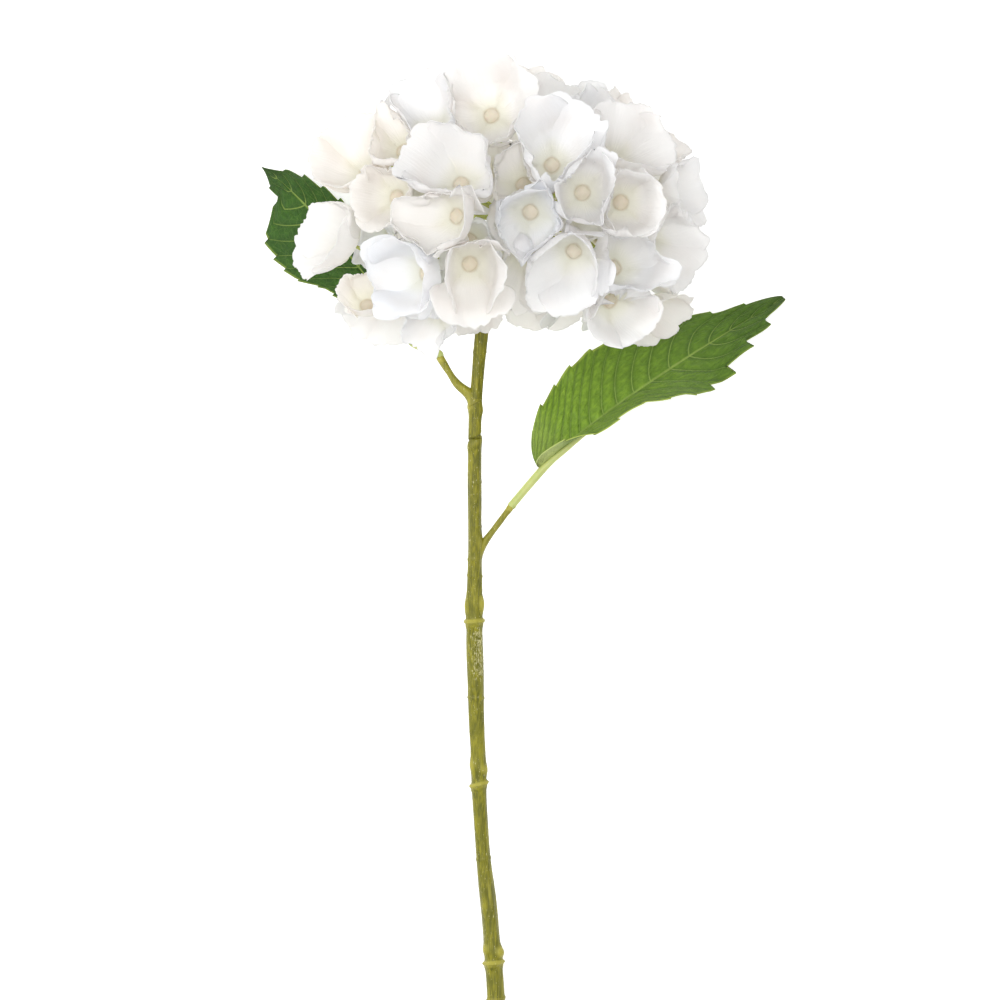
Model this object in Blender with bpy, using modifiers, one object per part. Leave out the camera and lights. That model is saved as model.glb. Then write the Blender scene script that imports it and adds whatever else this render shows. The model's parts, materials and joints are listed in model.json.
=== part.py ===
"""A cut hydrangea, of the artificial kind, lying on a flat surface.

Metres, +Z up. The flower head is at +Y and the cut end of the stem at -Y. The surface is z = 0.
"""
import math

import bpy
import bmesh
from mathutils import Matrix, Vector

MM = 0.001

# Driving dimensions. The head's middle is the point that the floret places below are given from.
HEAD_CENTRE = Vector((0.0, 0.0, 65 * MM))
MESH_GAP = 0.3 * MM  # between pieces that touch

FABRIC = 0.5 * MM  # thickness of a floret
HUB_RADIUS = 4.6 * MM  # flat middle of a floret
HOLE_RADIUS = 1.6 * MM  # hole that the bud tip passes through
PETAL_LENGTH = 26.0 * MM
PETAL_HALF_WIDTH = 16.5 * MM
PETAL_ROWS = (0.38, 0.74, 1.0)  # where a petal has points, as shares of its length
PETAL_SIDE = math.radians(43.0)  # a petal's widest reach to each side of its middle, about the axis
BASE_NARROW = 0.62  # part of its width that a petal loses towards its base
TIP_NARROW = 0.40  # and towards its tip
SIDE_SHORTER = 0.17  # part of its length that a petal's sides end before its middle
SIDE_DRAWN_IN = 0.93  # distance of a petal's sides from the axis, as a share of its middle's
ROLLED_FROM = 24.0  # mean opening in degrees, below which a floret's petals are rolled in and narrower
ROLLED_SPAN = 12.0  # degrees further down, where they are narrowest
ROLLED_NARROW = 0.22
CORE_LENGTH = 12 * MM  # stretch of a floret's axis that its cup always keeps
STEM_CLEARANCE = 5.5 * MM  # from the stem's centre line to a floret
LEAF_CLEARANCE = 1.5 * MM  # from a leaf's middle surface to a floret
CROWD_MARGIN = 0.7 * MM  # from a floret's mid surface to the plane that it shares with a neighbour
LAP_TILT = math.radians(11.0)  # lean of that plane for each step of lap between the two
LAP_LIMIT = math.radians(32.0)
CORE_CLEARANCE = 3.5 * MM  # from a floret's core to a leaning plane, at least
LEAN_FROM = 1.0  # florets that face too far apart do not lean: length of their two axes' sum, along the plane
BORDER_RADIUS = 26 * MM  # the shared plane bends round the floret with more lap
BORDER_REACH = 20 * MM  # as far as this from the line between the two
FULL_BEND_LAP = 1.5  # difference of lap that gives the full bend
LEAST_KEEP = 0.12  # a crowded point stays this share of its way out from the axis
HUB_SLOPE = 84  # degrees from the axis where a petal leaves the hub
OPENING_LEAD = 14  # degrees by which a petal's middle stretch is more closed than its opening
TIP_FLARE = 34  # degrees that its tip turns out
SETTLE_RATE = 1.7  # how soon a petal has turned up from the hub to its opening

PEDICEL_RADIUS = 1.1 * MM  # flower stalk, up to the bud tip that ends it
BUD_HEIGHT = 1.3 * MM  # from a floret's hub to the end of the bud tip in it
PEDICEL_BEND = 7.0 * MM  # below its floret, where a flower stalk turns into the floret's axis
PEDICEL_STAGGER = 0.45 * MM  # between the starts of a spray's flower stalks, down its main stalk
STALK_RADIUS = 1.7 * MM
CROWN_RADIUS = 6.0 * MM  # swelling at the stem's top, where the sprays spread

LEAF_THICKNESS = 0.6 * MM
LEAF_ROWS = 14
LEAF_COLUMNS = 6

# Centre line of the stem in mm, from its top to its cut end, with its radius there.
STEM_ROUTE = (
    (-9.0, -12.0, 63.0, 3.2),
    (-15.0, -59.0, 58.4, 3.0),
    (-17.2, -85.0, 55.2, 2.9),
    (-18.0, -110.0, 51.3, 3.4),
    (-18.0, -160.0, 42.6, 3.4),
    (-18.0, -210.0, 33.8, 4.0),
    (-16.5, -257.0, 25.6, 3.7),
    (-14.5, -300.0, 18.2, 3.8),
    (-10.5, -339.0, 12.1, 4.1),
    (-8.0, -374.0, 7.4, 4.2),
    (-5.5, -413.0, 4.2, 4.2),
)
STEM_SPACING = 9 * MM  # between the points of its centre line
STEM_JOINT_Y = -105.5 * MM  # where the upper stem is plugged in the lower one
PEG_RADIUS = 1.9 * MM
PEG_LENGTH = 8 * MM

# Collars round the stem: place along Y, height over the stem, and half length, in mm.
COLLARS = (
    (-90.5, 0.7, 2.5),
    (-188.1, 0.5, 6.0),
    (-193.6, 1.0, 1.6),
    (-262.6, 0.5, 5.0),
    (-270.8, 1.0, 1.6),
    (-350.7, 0.6, 4.5),
    (-356.8, 1.0, 1.6),
    (-374.8, 0.4, 1.5),
)

# Florets by spray. Place of the eye from the head's middle in mm, then the way the floret faces, in
# degrees to the right and up from straight at the viewer, the turn of its petals, its size, the opening
# of each petal in degrees, and its lap: a floret with more lap lies over one with less.
SPRAYS = {
    "spray_front": (
        (-24, 11, 53, -6, 24, 65, 1.18, (46, 48, 44, 44), 1),
        (-26, -4, 56, -34, 0, 70, 1.34, (42, 52, 46, 26), 2),
        (5, 11, 43, -6, 12, 40, 1.00, (70, 66, 70, 66), 1),
        (8, -2, 54, -4, -18, 30, 1.05, (38, 16, 30, 48), 2),
        (-20, -26, 54, 4, -12, 90, 1.34, (18, 4, 30, 3), 3),
        (28, -20, 52, -8, -20, 20, 1.08, (12, 16, 50, 36), 2),
        (32, 7, 54, 2, 2, 90, 1.20, (24, 9, 22, 8), 3),
        (-34, -46, 24, -12, -42, 45, 0.74, (40, 36, 40, 44), -1),
        (-22, -38, 14, -10, -64, 0, 0.70, (42, 40, 42, 42), -2),
    ),
    "spray_left": (
        (-40, -30, 44, -30, -8, 0, 1.10, (10, 26, 50, 20), 2),
        (-54, 6, 29, -26, 8, 0, 0.80, (30, 38, 30, 38), 0),
        (-69, 18, 10, -26, 32, 20, 0.95, (40, 40, 40, 34), 0),
        (-76, -15, 6, -58, 20, 60, 0.95, (48, 32, 48, 34), 1),
        (-51, 28, 26, -30, 30, 20, 0.82, (36, 38, 38, 36), 1),
        (-68, -44, 16, -5, 34, 10, 0.60, (24, 30, 26, 22), 2),
        (-61, -40, -10, -38, -50, 0, 0.76, (46, 46, 46, 46), -1),
        (-61, 26, -10, -85, 35, 20, 1.00, (55, 55, 55, 55), 0),
        (-58, -6, -22, -110, 0, 0, 0.95, (55, 55, 55, 55), -1),
    ),
    "spray_top": (
        (-36, 36, 27, -24, 36, 25, 1.00, (36, 42, 42, 38), 0),
        (-10, 44, 30, -12, 12, 18, 1.15, (42, 34, 46, 52), 1),
        (18, 20, 47, 0, 8, 45, 1.26, (50, 42, 60, 6), 2),
        (-22, 42, 0, -25, 72, 0, 0.92, (55, 50, 55, 50), -2),
        (12, 40, 8, 10, 60, 45, 0.95, (55, 52, 55, 50), -1),
        (34, 35, 12, 28, 56, 20, 0.95, (52, 52, 52, 50), 0),
        (-22, 40, -32, -160, 45, 20, 1.00, (58, 58, 58, 58), 0),
        (8, 42, -32, 175, 50, 45, 1.00, (58, 58, 58, 58), 1),
        (36, 35, -28, 145, 42, 0, 1.00, (58, 58, 58, 58), -1),
    ),
    "spray_right": (
        (50, 3, 43, 6, -4, 0, 1.05, (24, 18, 2, 18), 3),
        (47, 22, 33, 25, 28, 0, 1.00, (42, 42, 36, 42), 0),
        (60, 23, 10, 60, 32, 30, 0.90, (50, 50, 50, 50), 0),
        (70, 9, 10, 68, 5, 20, 0.80, (48, 48, 40, 48), 1),
        (47, -27, 36, 24, 8, 35, 1.15, (50, 50, 30, 30), 0),
        (45, -42, 27, 18, -10, 45, 0.98, (24, 6, 26, 26), 3),
        (64, -42, -2, 50, -50, 0, 0.70, (46, 46, 46, 46), -1),
        (63, -14, 18, 48, -10, 45, 0.95, (44, 42, 36, 42), -1),
        (66, -24, -8, 85, -25, 20, 0.85, (50, 50, 50, 50), 0),
        (54, 33, -10, 75, 46, 20, 0.92, (55, 55, 55, 55), 1),
    ),
    "spray_back": (
        (-44, 26, -34, -135, 25, 45, 1.00, (58, 58, 58, 58), 0),
        (60, 12, -24, 112, 10, 0, 0.95, (58, 58, 58, 58), 1),
        (44, -30, -20, 125, -45, 45, 0.85, (58, 58, 58, 58), -1),
        (16, -21, -18, 125, -62, 0, 0.72, (55, 55, 55, 55), 0),
        (-36, 2, -46, -150, 0, 20, 1.00, (60, 60, 60, 60), 1),
        (-12, 18, -50, 180, 15, 45, 1.00, (60, 60, 60, 60), -1),
        (18, 12, -50, 170, 5, 0, 1.00, (60, 60, 60, 60), 1),
        (42, -10, -42, 145, -10, 20, 1.00, (60, 60, 60, 60), -1),
        (-12, -18, -48, -170, -15, 30, 1.00, (60, 60, 60, 60), 0),
        (16, -24, -46, 165, -30, 45, 1.00, (60, 60, 60, 60), -1),
        (38, 22, -44, 150, 20, 45, 0.95, (60, 60, 60, 60), 0),
    ),
}

# Where each spray leaves the crown, and where it branches, from the head's middle in mm.
SPRAY_FORKS = {
    "spray_front": (-3, -2, 22),
    "spray_left": (-32, 0, 2),
    "spray_top": (-2, 20, 4),
    "spray_right": (24, 2, 4),
    "spray_back": (2, -2, -22),
}

# Leaves. Middle rib as four control points in mm, then for each half its width in mm and its rise in
# degrees, as pairs of a share of the leaf's length and the rise there.
LEAVES = {
    "leaf_right": {
        "rib": ((12.2, -119.5, 43), (49.5, -88, 49), (84, -65.5, 24), (130.5, -38, 0.4)),
        "left_half": (29, ((0, -18), (1, -18))),
        "right_half": (
            27,
            ((0, 100), (0.15, 78), (0.38, 76), (0.5, 54), (0.6, 28), (0.67, 20), (0.8, 32), (1, 46)),
        ),
        "belly": 0.38,
    },
    "leaf_left": {
        "rib": ((-46.5, -61.5, 46), (-62.5, -38.5, 28), (-91.5, 4.5, 32), (-120.5, 25, 0.4)),
        "left_half": (24, ((0, -8), (1, -8))),
        "right_half": (18, ((0, 4), (1, 4))),
        "belly": 0.6,
    },
}
STUBS = {
    "leaf_right": ((-17, -159.4, 42.0), (-9.5, -149.9, 43.4), (-0.5, -137.9, 44)),
    "leaf_left": ((-17.2, -86, 54.6), (-26, -80.5, 53.4), (-34.5, -67.5, 50)),
}
STUB_RADII = (2.6, 1.5)  # mm, where it leaves the stem and at its end
SLEEVE_RADIUS = 1.9 * MM
RIB_TIP_RADIUS = 0.5 * MM
RIB_SHARE = 0.55  # how far along the leaf its stalk runs on below it
RIB_START = 0.02
RIB_STEPS = 8
FLAT_FOLD = 0.3  # a leaf folded less than this has its stalk straight below it
SLEEVE_SEAT = 2.5 * MM  # straight stretch of a leaf's stalk, in line with the stub


def clear_scene():
    for old in list(bpy.data.objects):
        bpy.data.objects.remove(old, do_unlink=True)


def new_collection(name):
    collection = bpy.data.collections.new(name)
    bpy.context.scene.collection.children.link(collection)
    return collection


def new_material(name, colour, roughness, metallic=0.0):
    material = bpy.data.materials.new(name)
    material.use_nodes = True
    shader = material.node_tree.nodes["Principled BSDF"]
    shader.inputs["Base Color"].default_value = (*colour, 1.0)
    shader.inputs["Roughness"].default_value = roughness
    shader.inputs["Metallic"].default_value = metallic
    return material


def new_object(name, mesh, collection, material, parent=None):
    piece = bpy.data.objects.new(name, mesh)
    collection.objects.link(piece)
    piece.data.materials.append(material)
    piece.parent = parent
    return piece


def mesh_from_bmesh(name, shape):
    mesh = bpy.data.meshes.new(name)
    shape.to_mesh(mesh)
    shape.free()
    return mesh


def add_solidify(piece, thickness):
    solidify = piece.modifiers.new("Thickness", "SOLIDIFY")
    solidify.thickness = thickness
    solidify.offset = 0.0


def add_boolean(piece, tool, operation):
    boolean = piece.modifiers.new(operation.title(), "BOOLEAN")
    boolean.operation = operation
    boolean.object = tool


def as_tool(piece):
    """Keep a piece that only cuts or joins another out of the model."""
    piece.hide_render = True
    piece.display_type = "WIRE"
    return piece


def smooth_points(points, steps):
    """A Catmull-Rom curve through points of any number of values, with steps points to each span."""
    ends = [2 * points[0] - points[1]] + list(points) + [2 * points[-1] - points[-2]]
    route = []
    for before, start, end, after in zip(ends, ends[1:], ends[2:], ends[3:]):
        for step in range(steps):
            t = step / steps
            route.append(
                start
                + (end - before) * (t / 2)
                + (2 * before - 5 * start + 4 * end - after) * (t * t / 2)
                + (3 * start - 3 * end + after - before) * (t**3 / 2)
            )
    route.append(points[-1])
    return route


def bezier_point(points, t):
    """A point on the Bezier curve of four control points."""
    s = 1 - t
    return points[0] * s**3 + points[1] * (3 * s * s * t) + points[2] * (3 * s * t * t) + points[3] * t**3


def tube(name, route, radii, collection, material, resolution=2):
    """A closed tube along a route of points, as a mesh with its caps welded."""
    curve = bpy.data.curves.new(name, "CURVE")
    curve.dimensions = "3D"
    curve.bevel_depth = 1.0
    curve.bevel_resolution = resolution
    curve.use_fill_caps = True
    spline = curve.splines.new("POLY")
    spline.points.add(len(route) - 1)
    for point, place, radius in zip(spline.points, route, radii):
        point.co = (*place, 1.0)
        point.radius = radius
    guide = bpy.data.objects.new(name + "_route", curve)
    collection.objects.link(guide)
    bpy.context.view_layer.update()
    mesh = bpy.data.meshes.new_from_object(guide.evaluated_get(bpy.context.evaluated_depsgraph_get()))
    bpy.data.objects.remove(guide, do_unlink=True)
    shape = bmesh.new()
    shape.from_mesh(mesh)
    bmesh.ops.remove_doubles(shape, verts=shape.verts, dist=0.01 * MM)
    bpy.data.meshes.remove(mesh)
    return new_object(name, mesh_from_bmesh(name, shape), collection, material)


# ---------------------------------------------------------------- florets

def facing(right, up):
    """Unit vector that points right and up of straight at the viewer by these degrees."""
    right, up = math.radians(right), math.radians(up)
    return Vector((math.sin(right) * math.cos(up), math.sin(up), math.cos(right) * math.cos(up)))


def floret_frame(row):
    """Matrix of a floret: origin at its eye, +Z along its axis, +Y up the head."""
    eye = HEAD_CENTRE + Vector(row[:3]) * MM
    axis = facing(row[3], row[4])
    side = Vector((0, 1, 0)).cross(axis).normalized()
    return Matrix.Translation(eye) @ Matrix((side, axis.cross(side), axis)).transposed().to_4x4()


def nearest_on_cores(first, second):
    """The points of two straight cores, each a pair of ends, that are closest to each other."""
    a, b = first[1] - first[0], second[1] - second[0]
    gap = first[0] - second[0]
    aa, bb, ab = a.dot(a), b.dot(b), a.dot(b)
    spread = aa * bb - ab * ab
    s = 0.5 if spread < 1e-14 else (ab * b.dot(gap) - bb * a.dot(gap)) / spread
    s = min(1.0, max(0.0, s))
    for _ in range(4):
        t = min(1.0, max(0.0, (b.dot(gap) + s * ab) / bb))
        s = min(1.0, max(0.0, (t * ab - a.dot(gap)) / aa))
    return first[0] + a * s, second[0] + b * t


def lapped_normal(point, normal, up, tilt, cores):
    """The normal of a shared plane, leaned by up to tilt towards up while both cores stay clear of it."""
    for share in (1.0, 0.75, 0.5, 0.25):
        leaned = (normal + up * math.tan(tilt * share)).normalized()
        own = [(point - end).dot(leaned) for end in cores[0]]
        other = [(end - point).dot(leaned) for end in cores[1]]
        if min(own + other) > CORE_CLEARANCE:
            return leaned
    return normal


def crowding_planes(index, cores, rows, obstacles):
    """Borders (point, outward normal, bend) that keep a floret clear of the others and of the obstacles."""
    planes = []
    own_size, own_lap = rows[index][6], rows[index][8]
    for other, core in enumerate(cores):
        if other == index:
            continue
        mine, theirs = nearest_on_cores(cores[index], core)
        share = own_size / (own_size + rows[other][6])
        point, normal = mine.lerp(theirs, share), (theirs - mine).normalized()
        both_ways = (cores[index][1] - cores[index][0]).normalized() + (core[1] - core[0]).normalized()
        up = both_ways - normal * both_ways.dot(normal)
        steps = rows[other][8] - own_lap
        tilt = max(-LAP_LIMIT, min(LAP_LIMIT, LAP_TILT * steps))
        if up.length > LEAN_FROM:
            normal = lapped_normal(point, normal, up.normalized(), tilt, (cores[index], core))
        bend = max(-1.0, min(1.0, -steps / FULL_BEND_LAP)) / (2 * BORDER_RADIUS)
        planes.append((point, normal, bend))
    for core, radius in obstacles:
        mine, theirs = nearest_on_cores(cores[index], core)
        away = (theirs - mine).normalized()
        planes.append((theirs - away * radius, away, 0.0))
    planes.append((Vector((0, 0, FABRIC / 2 - CROWD_MARGIN)), Vector((0, 0, -1)), 0.0))
    return planes


def petal_profile(share, length, opening):
    """Distance from the axis and height of a petal's middle line, at a share of its length."""
    steps = 12
    radius, height = HUB_RADIUS, 0.0
    for step in range(steps):
        t = share * (step + 0.5) / steps
        settle = min(1.0, SETTLE_RATE * t)
        lean = HUB_SLOPE + (opening - OPENING_LEAD - HUB_SLOPE) * settle * (2 - settle)
        angle = math.radians(lean + TIP_FLARE * t**3)
        radius += math.sin(angle) * length * share / steps
        height += math.cos(angle) * length * share / steps
    return radius, height


def petal_width(size, openings):
    """Half width of a floret's petals, less where they stand nearly upright and roll in."""
    rolled = (ROLLED_FROM - sum(openings) / len(openings)) / ROLLED_SPAN
    return PETAL_HALF_WIDTH * size * (1 - ROLLED_NARROW * min(1.0, max(0.0, rolled)))


def petal_side(share, radius, half_width):
    """Half angle that a petal covers about the axis, at a share of its length."""
    width = half_width * (1 - BASE_NARROW * (1 - share) ** 2) * (1 - TIP_NARROW * share**5)
    return min(PETAL_SIDE, math.atan2(width, radius * SIDE_DRAWN_IN))


def crowded(point, planes):
    """Move a point of a floret straight in to its axis, until it lies inside every border."""
    on_axis = Vector((0, 0, min(CORE_LENGTH, max(0.0, point.z))))
    reach = point - on_axis
    keep = 1.0
    for _ in range(5):
        here = on_axis + reach * keep
        keep = 1.0
        for place, normal, bend in planes:
            off = here - place
            aside = min(off.length_squared - off.dot(normal) ** 2, BORDER_REACH**2)
            room = (place - on_axis).dot(normal) - CROWD_MARGIN - bend * aside
            push = reach.dot(normal)
            if push > max(room, 0.0):
                keep = min(keep, max(LEAST_KEEP, room / push))
    return on_axis + reach * keep


def floret_mesh(name, turn, size, openings, planes):
    """Four petals round a hub with a hole, as one sheet, drawn in towards the axis where it is crowded."""
    shape = bmesh.new()
    ring = bmesh.ops.create_circle(shape, cap_ends=False, segments=8, radius=HOLE_RADIUS)["verts"]
    bmesh.ops.rotate(shape, verts=ring, matrix=Matrix.Rotation(math.radians(turn), 3, "Z"))
    outer = bmesh.ops.extrude_edge_only(shape, edges=shape.edges[:])["geom"]
    hub = [part for part in outer if isinstance(part, bmesh.types.BMVert)]
    bmesh.ops.scale(shape, verts=hub, vec=Vector((1, 1, 1)) * (HUB_RADIUS / HOLE_RADIUS))

    def azimuth(vert):
        return math.degrees(math.atan2(vert.co.y, vert.co.x))

    def off_middle(vert, middle):
        return (azimuth(vert) - middle + 180) % 360 - 180

    half_width = petal_width(size, openings)
    rim_edges = [part for part in outer if isinstance(part, bmesh.types.BMEdge)]
    rim_edges = [edge for edge in rim_edges if all(vert in hub for vert in edge.verts)]
    for petal in range(4):
        middle = turn + 90 * petal
        row_edges = [
            edge for edge in rim_edges if all(abs(off_middle(vert, middle)) < 50 for vert in edge.verts)
        ]
        sides = {vert: round(off_middle(vert, middle) / 45) for edge in row_edges for vert in edge.verts}
        for share in PETAL_ROWS:
            grown = bmesh.ops.extrude_edge_only(shape, edges=row_edges)["geom"]
            fresh = [part for part in grown if isinstance(part, bmesh.types.BMVert)]
            fresh_edges = [
                part
                for part in grown
                if isinstance(part, bmesh.types.BMEdge) and all(vert in fresh for vert in part.verts)
            ]
            old_sides = {tuple(round(c, 7) for c in vert.co): side for vert, side in sides.items()}
            sides = {vert: old_sides[tuple(round(c, 7) for c in vert.co)] for vert in fresh}
            for vert, side in sides.items():
                along = share if side == 0 else share - SIDE_SHORTER * share**5
                radius, height = petal_profile(along, PETAL_LENGTH * size, openings[petal])
                angle = math.radians(middle) + side * petal_side(share, radius, half_width)
                reach = radius if side == 0 else radius * SIDE_DRAWN_IN
                vert.co = (math.cos(angle) * reach, math.sin(angle) * reach, height)
            row_edges = fresh_edges
    for vert in shape.verts:
        if vert not in hub and vert not in ring:
            vert.co = crowded(vert.co, planes)
    bmesh.ops.recalc_face_normals(shape, faces=shape.faces)
    return mesh_from_bmesh(name, shape)


def local_planes(planes, frame):
    """The same borders as seen from a floret's own frame."""
    inverse = frame.inverted()
    turn = inverse.to_3x3()
    return [(inverse @ place, turn @ normal, bend) for place, normal, bend in planes]


def make_florets(collection, material, parent, obstacles):
    rows = [row for spray in SPRAYS.values() for row in spray]
    frames = [floret_frame(row) for row in rows]
    cores = [(frame.translation, frame @ Vector((0, 0, CORE_LENGTH))) for frame in frames]
    for index, (row, frame) in enumerate(zip(rows, frames)):
        name = f"floret_{index + 1:02d}"
        planes = local_planes(crowding_planes(index, cores, rows, obstacles), frame)
        piece = new_object(
            name, floret_mesh(name, row[5], row[6], row[7], planes), collection, material, parent
        )
        piece.matrix_world = frame
        add_solidify(piece, FABRIC)
        piece.data.shade_smooth()


# ---------------------------------------------------------------- sprays

def make_sprays(collection, tools, material, parent, crown):
    """Branched flower stalks, from the crown to a bud tip through the eye of each floret."""
    for name, rows in SPRAYS.items():
        fork = HEAD_CENTRE + Vector(SPRAY_FORKS[name]) * MM
        foot = crown + (fork - crown).normalized() * (CROWN_RADIUS + MESH_GAP)
        route = [foot, foot.lerp(fork, 0.5), fork]
        spray = tube(name, route, [STALK_RADIUS] * 3, collection, material, 1)
        spray.parent = parent
        for number, row in enumerate(rows):
            frame = floret_frame(row)
            eye, axis = frame.translation, frame.to_3x3() @ Vector((0, 0, 1))
            bend = eye - axis * PEDICEL_BEND
            start = fork + (foot - fork).normalized() * (PEDICEL_RADIUS + number * PEDICEL_STAGGER)
            route = [start, bend, eye + axis * BUD_HEIGHT]
            radii = [PEDICEL_RADIUS, PEDICEL_RADIUS, PEDICEL_RADIUS * 0.9]
            pedicel = as_tool(tube(f"{name}_pedicel_{number + 1}", route, radii, tools, material, 1))
            add_boolean(spray, pedicel, "UNION")


# ---------------------------------------------------------------- stem

def collar_rise(y):
    """How far the collars and the swellings over them stand proud of the stem at a place along Y."""
    rise = 0.0
    for place, height, half in COLLARS:
        rise += height * MM * math.exp(-(((y / MM - place) / half) ** 2))
    return rise


def point_at_y(points, y):
    for before, after in zip(points, points[1:]):
        if before.y >= y >= after.y:
            return before.lerp(after, (before.y - y) / (before.y - after.y))
    return points[-1]


def stem_points():
    """Points of the whole stem, each a place and a radius in one vector of four values."""
    fine = smooth_points([Vector(row) * MM for row in STEM_ROUTE], 40)
    first, last = fine[0].y, fine[-1].y
    count = round((first - last) / STEM_SPACING)
    places = [first + (last - first) * step / count for step in range(count + 1)]
    for y, _, half in COLLARS:
        ring = [y * MM + half * MM * share for share in (-1.6, -0.7, 0, 0.7, 1.6)]
        places = [place for place in places if not min(ring) - MM < place < max(ring) + MM] + ring
    return [point_at_y(fine, place) for place in sorted(places, reverse=True)]


def stem_part(name, points, collection, material):
    route = [point.to_3d() for point in points]
    radii = [point.w + collar_rise(point.y) for point in points]
    return tube(name, route, radii, collection, material)


def add_stub(stem, leaf, tools, material):
    """The short moulded stub that a leaf's stalk is pushed on."""
    route = smooth_points([Vector(point) * MM for point in STUBS[leaf]], 3)
    last = len(route) - 1
    foot, end = STUB_RADII
    radii = [MM * (foot + (end - foot) * (step / last) ** 0.6) for step in range(last + 1)]
    stub = as_tool(tube(f"{leaf}_stub", route, radii, tools, material))
    add_boolean(stem, stub, "UNION")


def make_stem(collection, tools, material, parent):
    """Lower and upper stem, which meet at a peg and socket. Returns the middle of the crown."""
    points = stem_points()
    joint = point_at_y(points, STEM_JOINT_Y)
    upper = [point for point in points if point.y > STEM_JOINT_Y + 1.5 * MM]
    lower = [point for point in points if point.y < STEM_JOINT_Y - 1.5 * MM]
    along = (lower[0] - upper[-1]).to_3d().normalized()
    face = joint.to_3d()
    upper.append(Vector((*(face - along * MESH_GAP / 2), joint.w)))
    lower.insert(0, Vector((*(face + along * MESH_GAP / 2), joint.w)))

    stem_upper = stem_part("stem_upper", upper, collection, material)
    stem_lower = stem_part("stem_lower", lower, collection, material)
    for stem in (stem_upper, stem_lower):
        stem.parent = parent

    peg_route = [face - along * 3 * MM, face + along * PEG_LENGTH]
    peg = as_tool(tube("stem_peg", peg_route, [PEG_RADIUS] * 2, tools, material))
    add_boolean(stem_upper, peg, "UNION")
    bore_route = [face - along * MM, face + along * (PEG_LENGTH + MESH_GAP)]
    bore = as_tool(tube("stem_bore", bore_route, [PEG_RADIUS + MESH_GAP] * 2, tools, material))
    add_boolean(stem_lower, bore, "DIFFERENCE")

    crown_shape = bmesh.new()
    bmesh.ops.create_uvsphere(crown_shape, u_segments=12, v_segments=8, radius=CROWN_RADIUS)
    crown = as_tool(new_object("crown", mesh_from_bmesh("crown", crown_shape), tools, material))
    crown.location = points[0].to_3d()
    add_boolean(stem_upper, crown, "UNION")

    add_stub(stem_lower, "leaf_right", tools, material)
    add_stub(stem_upper, "leaf_left", tools, material)
    return crown.location.copy(), points


# ---------------------------------------------------------------- leaves

def leaf_width(share, belly):
    """A leaf's width at a share of its length, as a share of its greatest width, which lies at belly."""
    power = math.log(0.5) / math.log(belly)
    return math.sin(math.pi * share**power) ** 0.8 * (1 - 0.28 * share**3) + 0.05


def leaf_frame(rib, share):
    """Place on the middle rib, the way to the leaf's left, and the way up from its face."""
    place = bezier_point(rib, share)
    along = (bezier_point(rib, min(1, share + 0.01)) - bezier_point(rib, max(0, share - 0.01))).normalized()
    left = Vector((0, 0, 1)).cross(along).normalized()
    return place, left, along.cross(left)


def rise_at(steps, share):
    """The rise of a leaf's half at a share of its length, in radians, from pairs of share and degrees."""
    for (start, low), (end, high) in zip(steps, steps[1:]):
        if share <= end:
            return math.radians(low + (high - low) * (share - start) / (end - start))
    return math.radians(steps[-1][1])


def leaf_point(leaf, share, across):
    """A point of a leaf's face: share runs from its base to its tip, across from -1 (right) to 1 (left)."""
    rib = [Vector(point) * MM for point in leaf["rib"]]
    place, left, up = leaf_frame(rib, share)
    width, rises = leaf["left_half"] if across > 0 else leaf["right_half"]
    rise = rise_at(rises, share)
    reach = abs(across) * width * MM * leaf_width(share, leaf["belly"])
    way = left if across > 0 else -left
    point = place + (way * math.cos(rise) + up * math.sin(rise)) * reach
    point.z = max(point.z, LEAF_THICKNESS * 0.6)
    return point


def leaf_bars(name):
    """Lines across a leaf, from its rib to each edge, that the florets over it keep clear of."""
    leaf = LEAVES[name]
    bars = []
    for share in (step / LEAF_ROWS for step in range(1, LEAF_ROWS)):
        middle = leaf_point(leaf, share, 0)
        bars += [(middle, leaf_point(leaf, share, side)) for side in (-1, 1)]
    return bars


def make_leaf(name, collection, material, parent):
    """A leaf with a fold along its middle rib, as one sheet."""
    shape = bmesh.new()
    bmesh.ops.create_grid(shape, x_segments=LEAF_ROWS, y_segments=LEAF_COLUMNS, size=0.5)
    for vert in shape.verts:
        vert.co = leaf_point(LEAVES[name], vert.co.x + 0.5, 2 * vert.co.y)
    bmesh.ops.recalc_face_normals(shape, faces=shape.faces)
    piece = new_object(name, mesh_from_bmesh(name, shape), collection, material, parent)
    add_solidify(piece, LEAF_THICKNESS)
    piece.data.shade_smooth()


def make_leaf_stalk(name, collection, material, parent):
    """Sleeve that is pushed on the stem's stub and runs on below the leaf as its back rib."""
    rib = [Vector(point) * MM for point in LEAVES[name]["rib"]]
    stub_end = Vector(STUBS[name][-1]) * MM
    stub_way = (stub_end - Vector(STUBS[name][-2]) * MM).normalized()
    route = [stub_end + stub_way * MESH_GAP, stub_end + stub_way * SLEEVE_SEAT]
    radii = [SLEEVE_RADIUS, SLEEVE_RADIUS]
    for step in range(RIB_STEPS + 1):
        share = RIB_START + (RIB_SHARE - RIB_START) * step / RIB_STEPS
        radii.append(SLEEVE_RADIUS + (RIB_TIP_RADIUS - SLEEVE_RADIUS) * (step / RIB_STEPS) ** 0.8)
        place, left, up = leaf_frame(rib, share)
        rises = [rise_at(LEAVES[name][half][1], share) for half in ("left_half", "right_half")]
        out = left * (math.cos(rises[0]) - math.cos(rises[1]))
        out += up * (math.sin(rises[0]) + math.sin(rises[1]))
        below = -out.normalized() if out.length > FLAT_FOLD else -up
        route.append(place + below * (radii[-1] + LEAF_THICKNESS + MESH_GAP))
    stalk = tube(name + "_stalk", route, radii, collection, material)
    stalk.parent = parent


# ---------------------------------------------------------------- assembly

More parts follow.
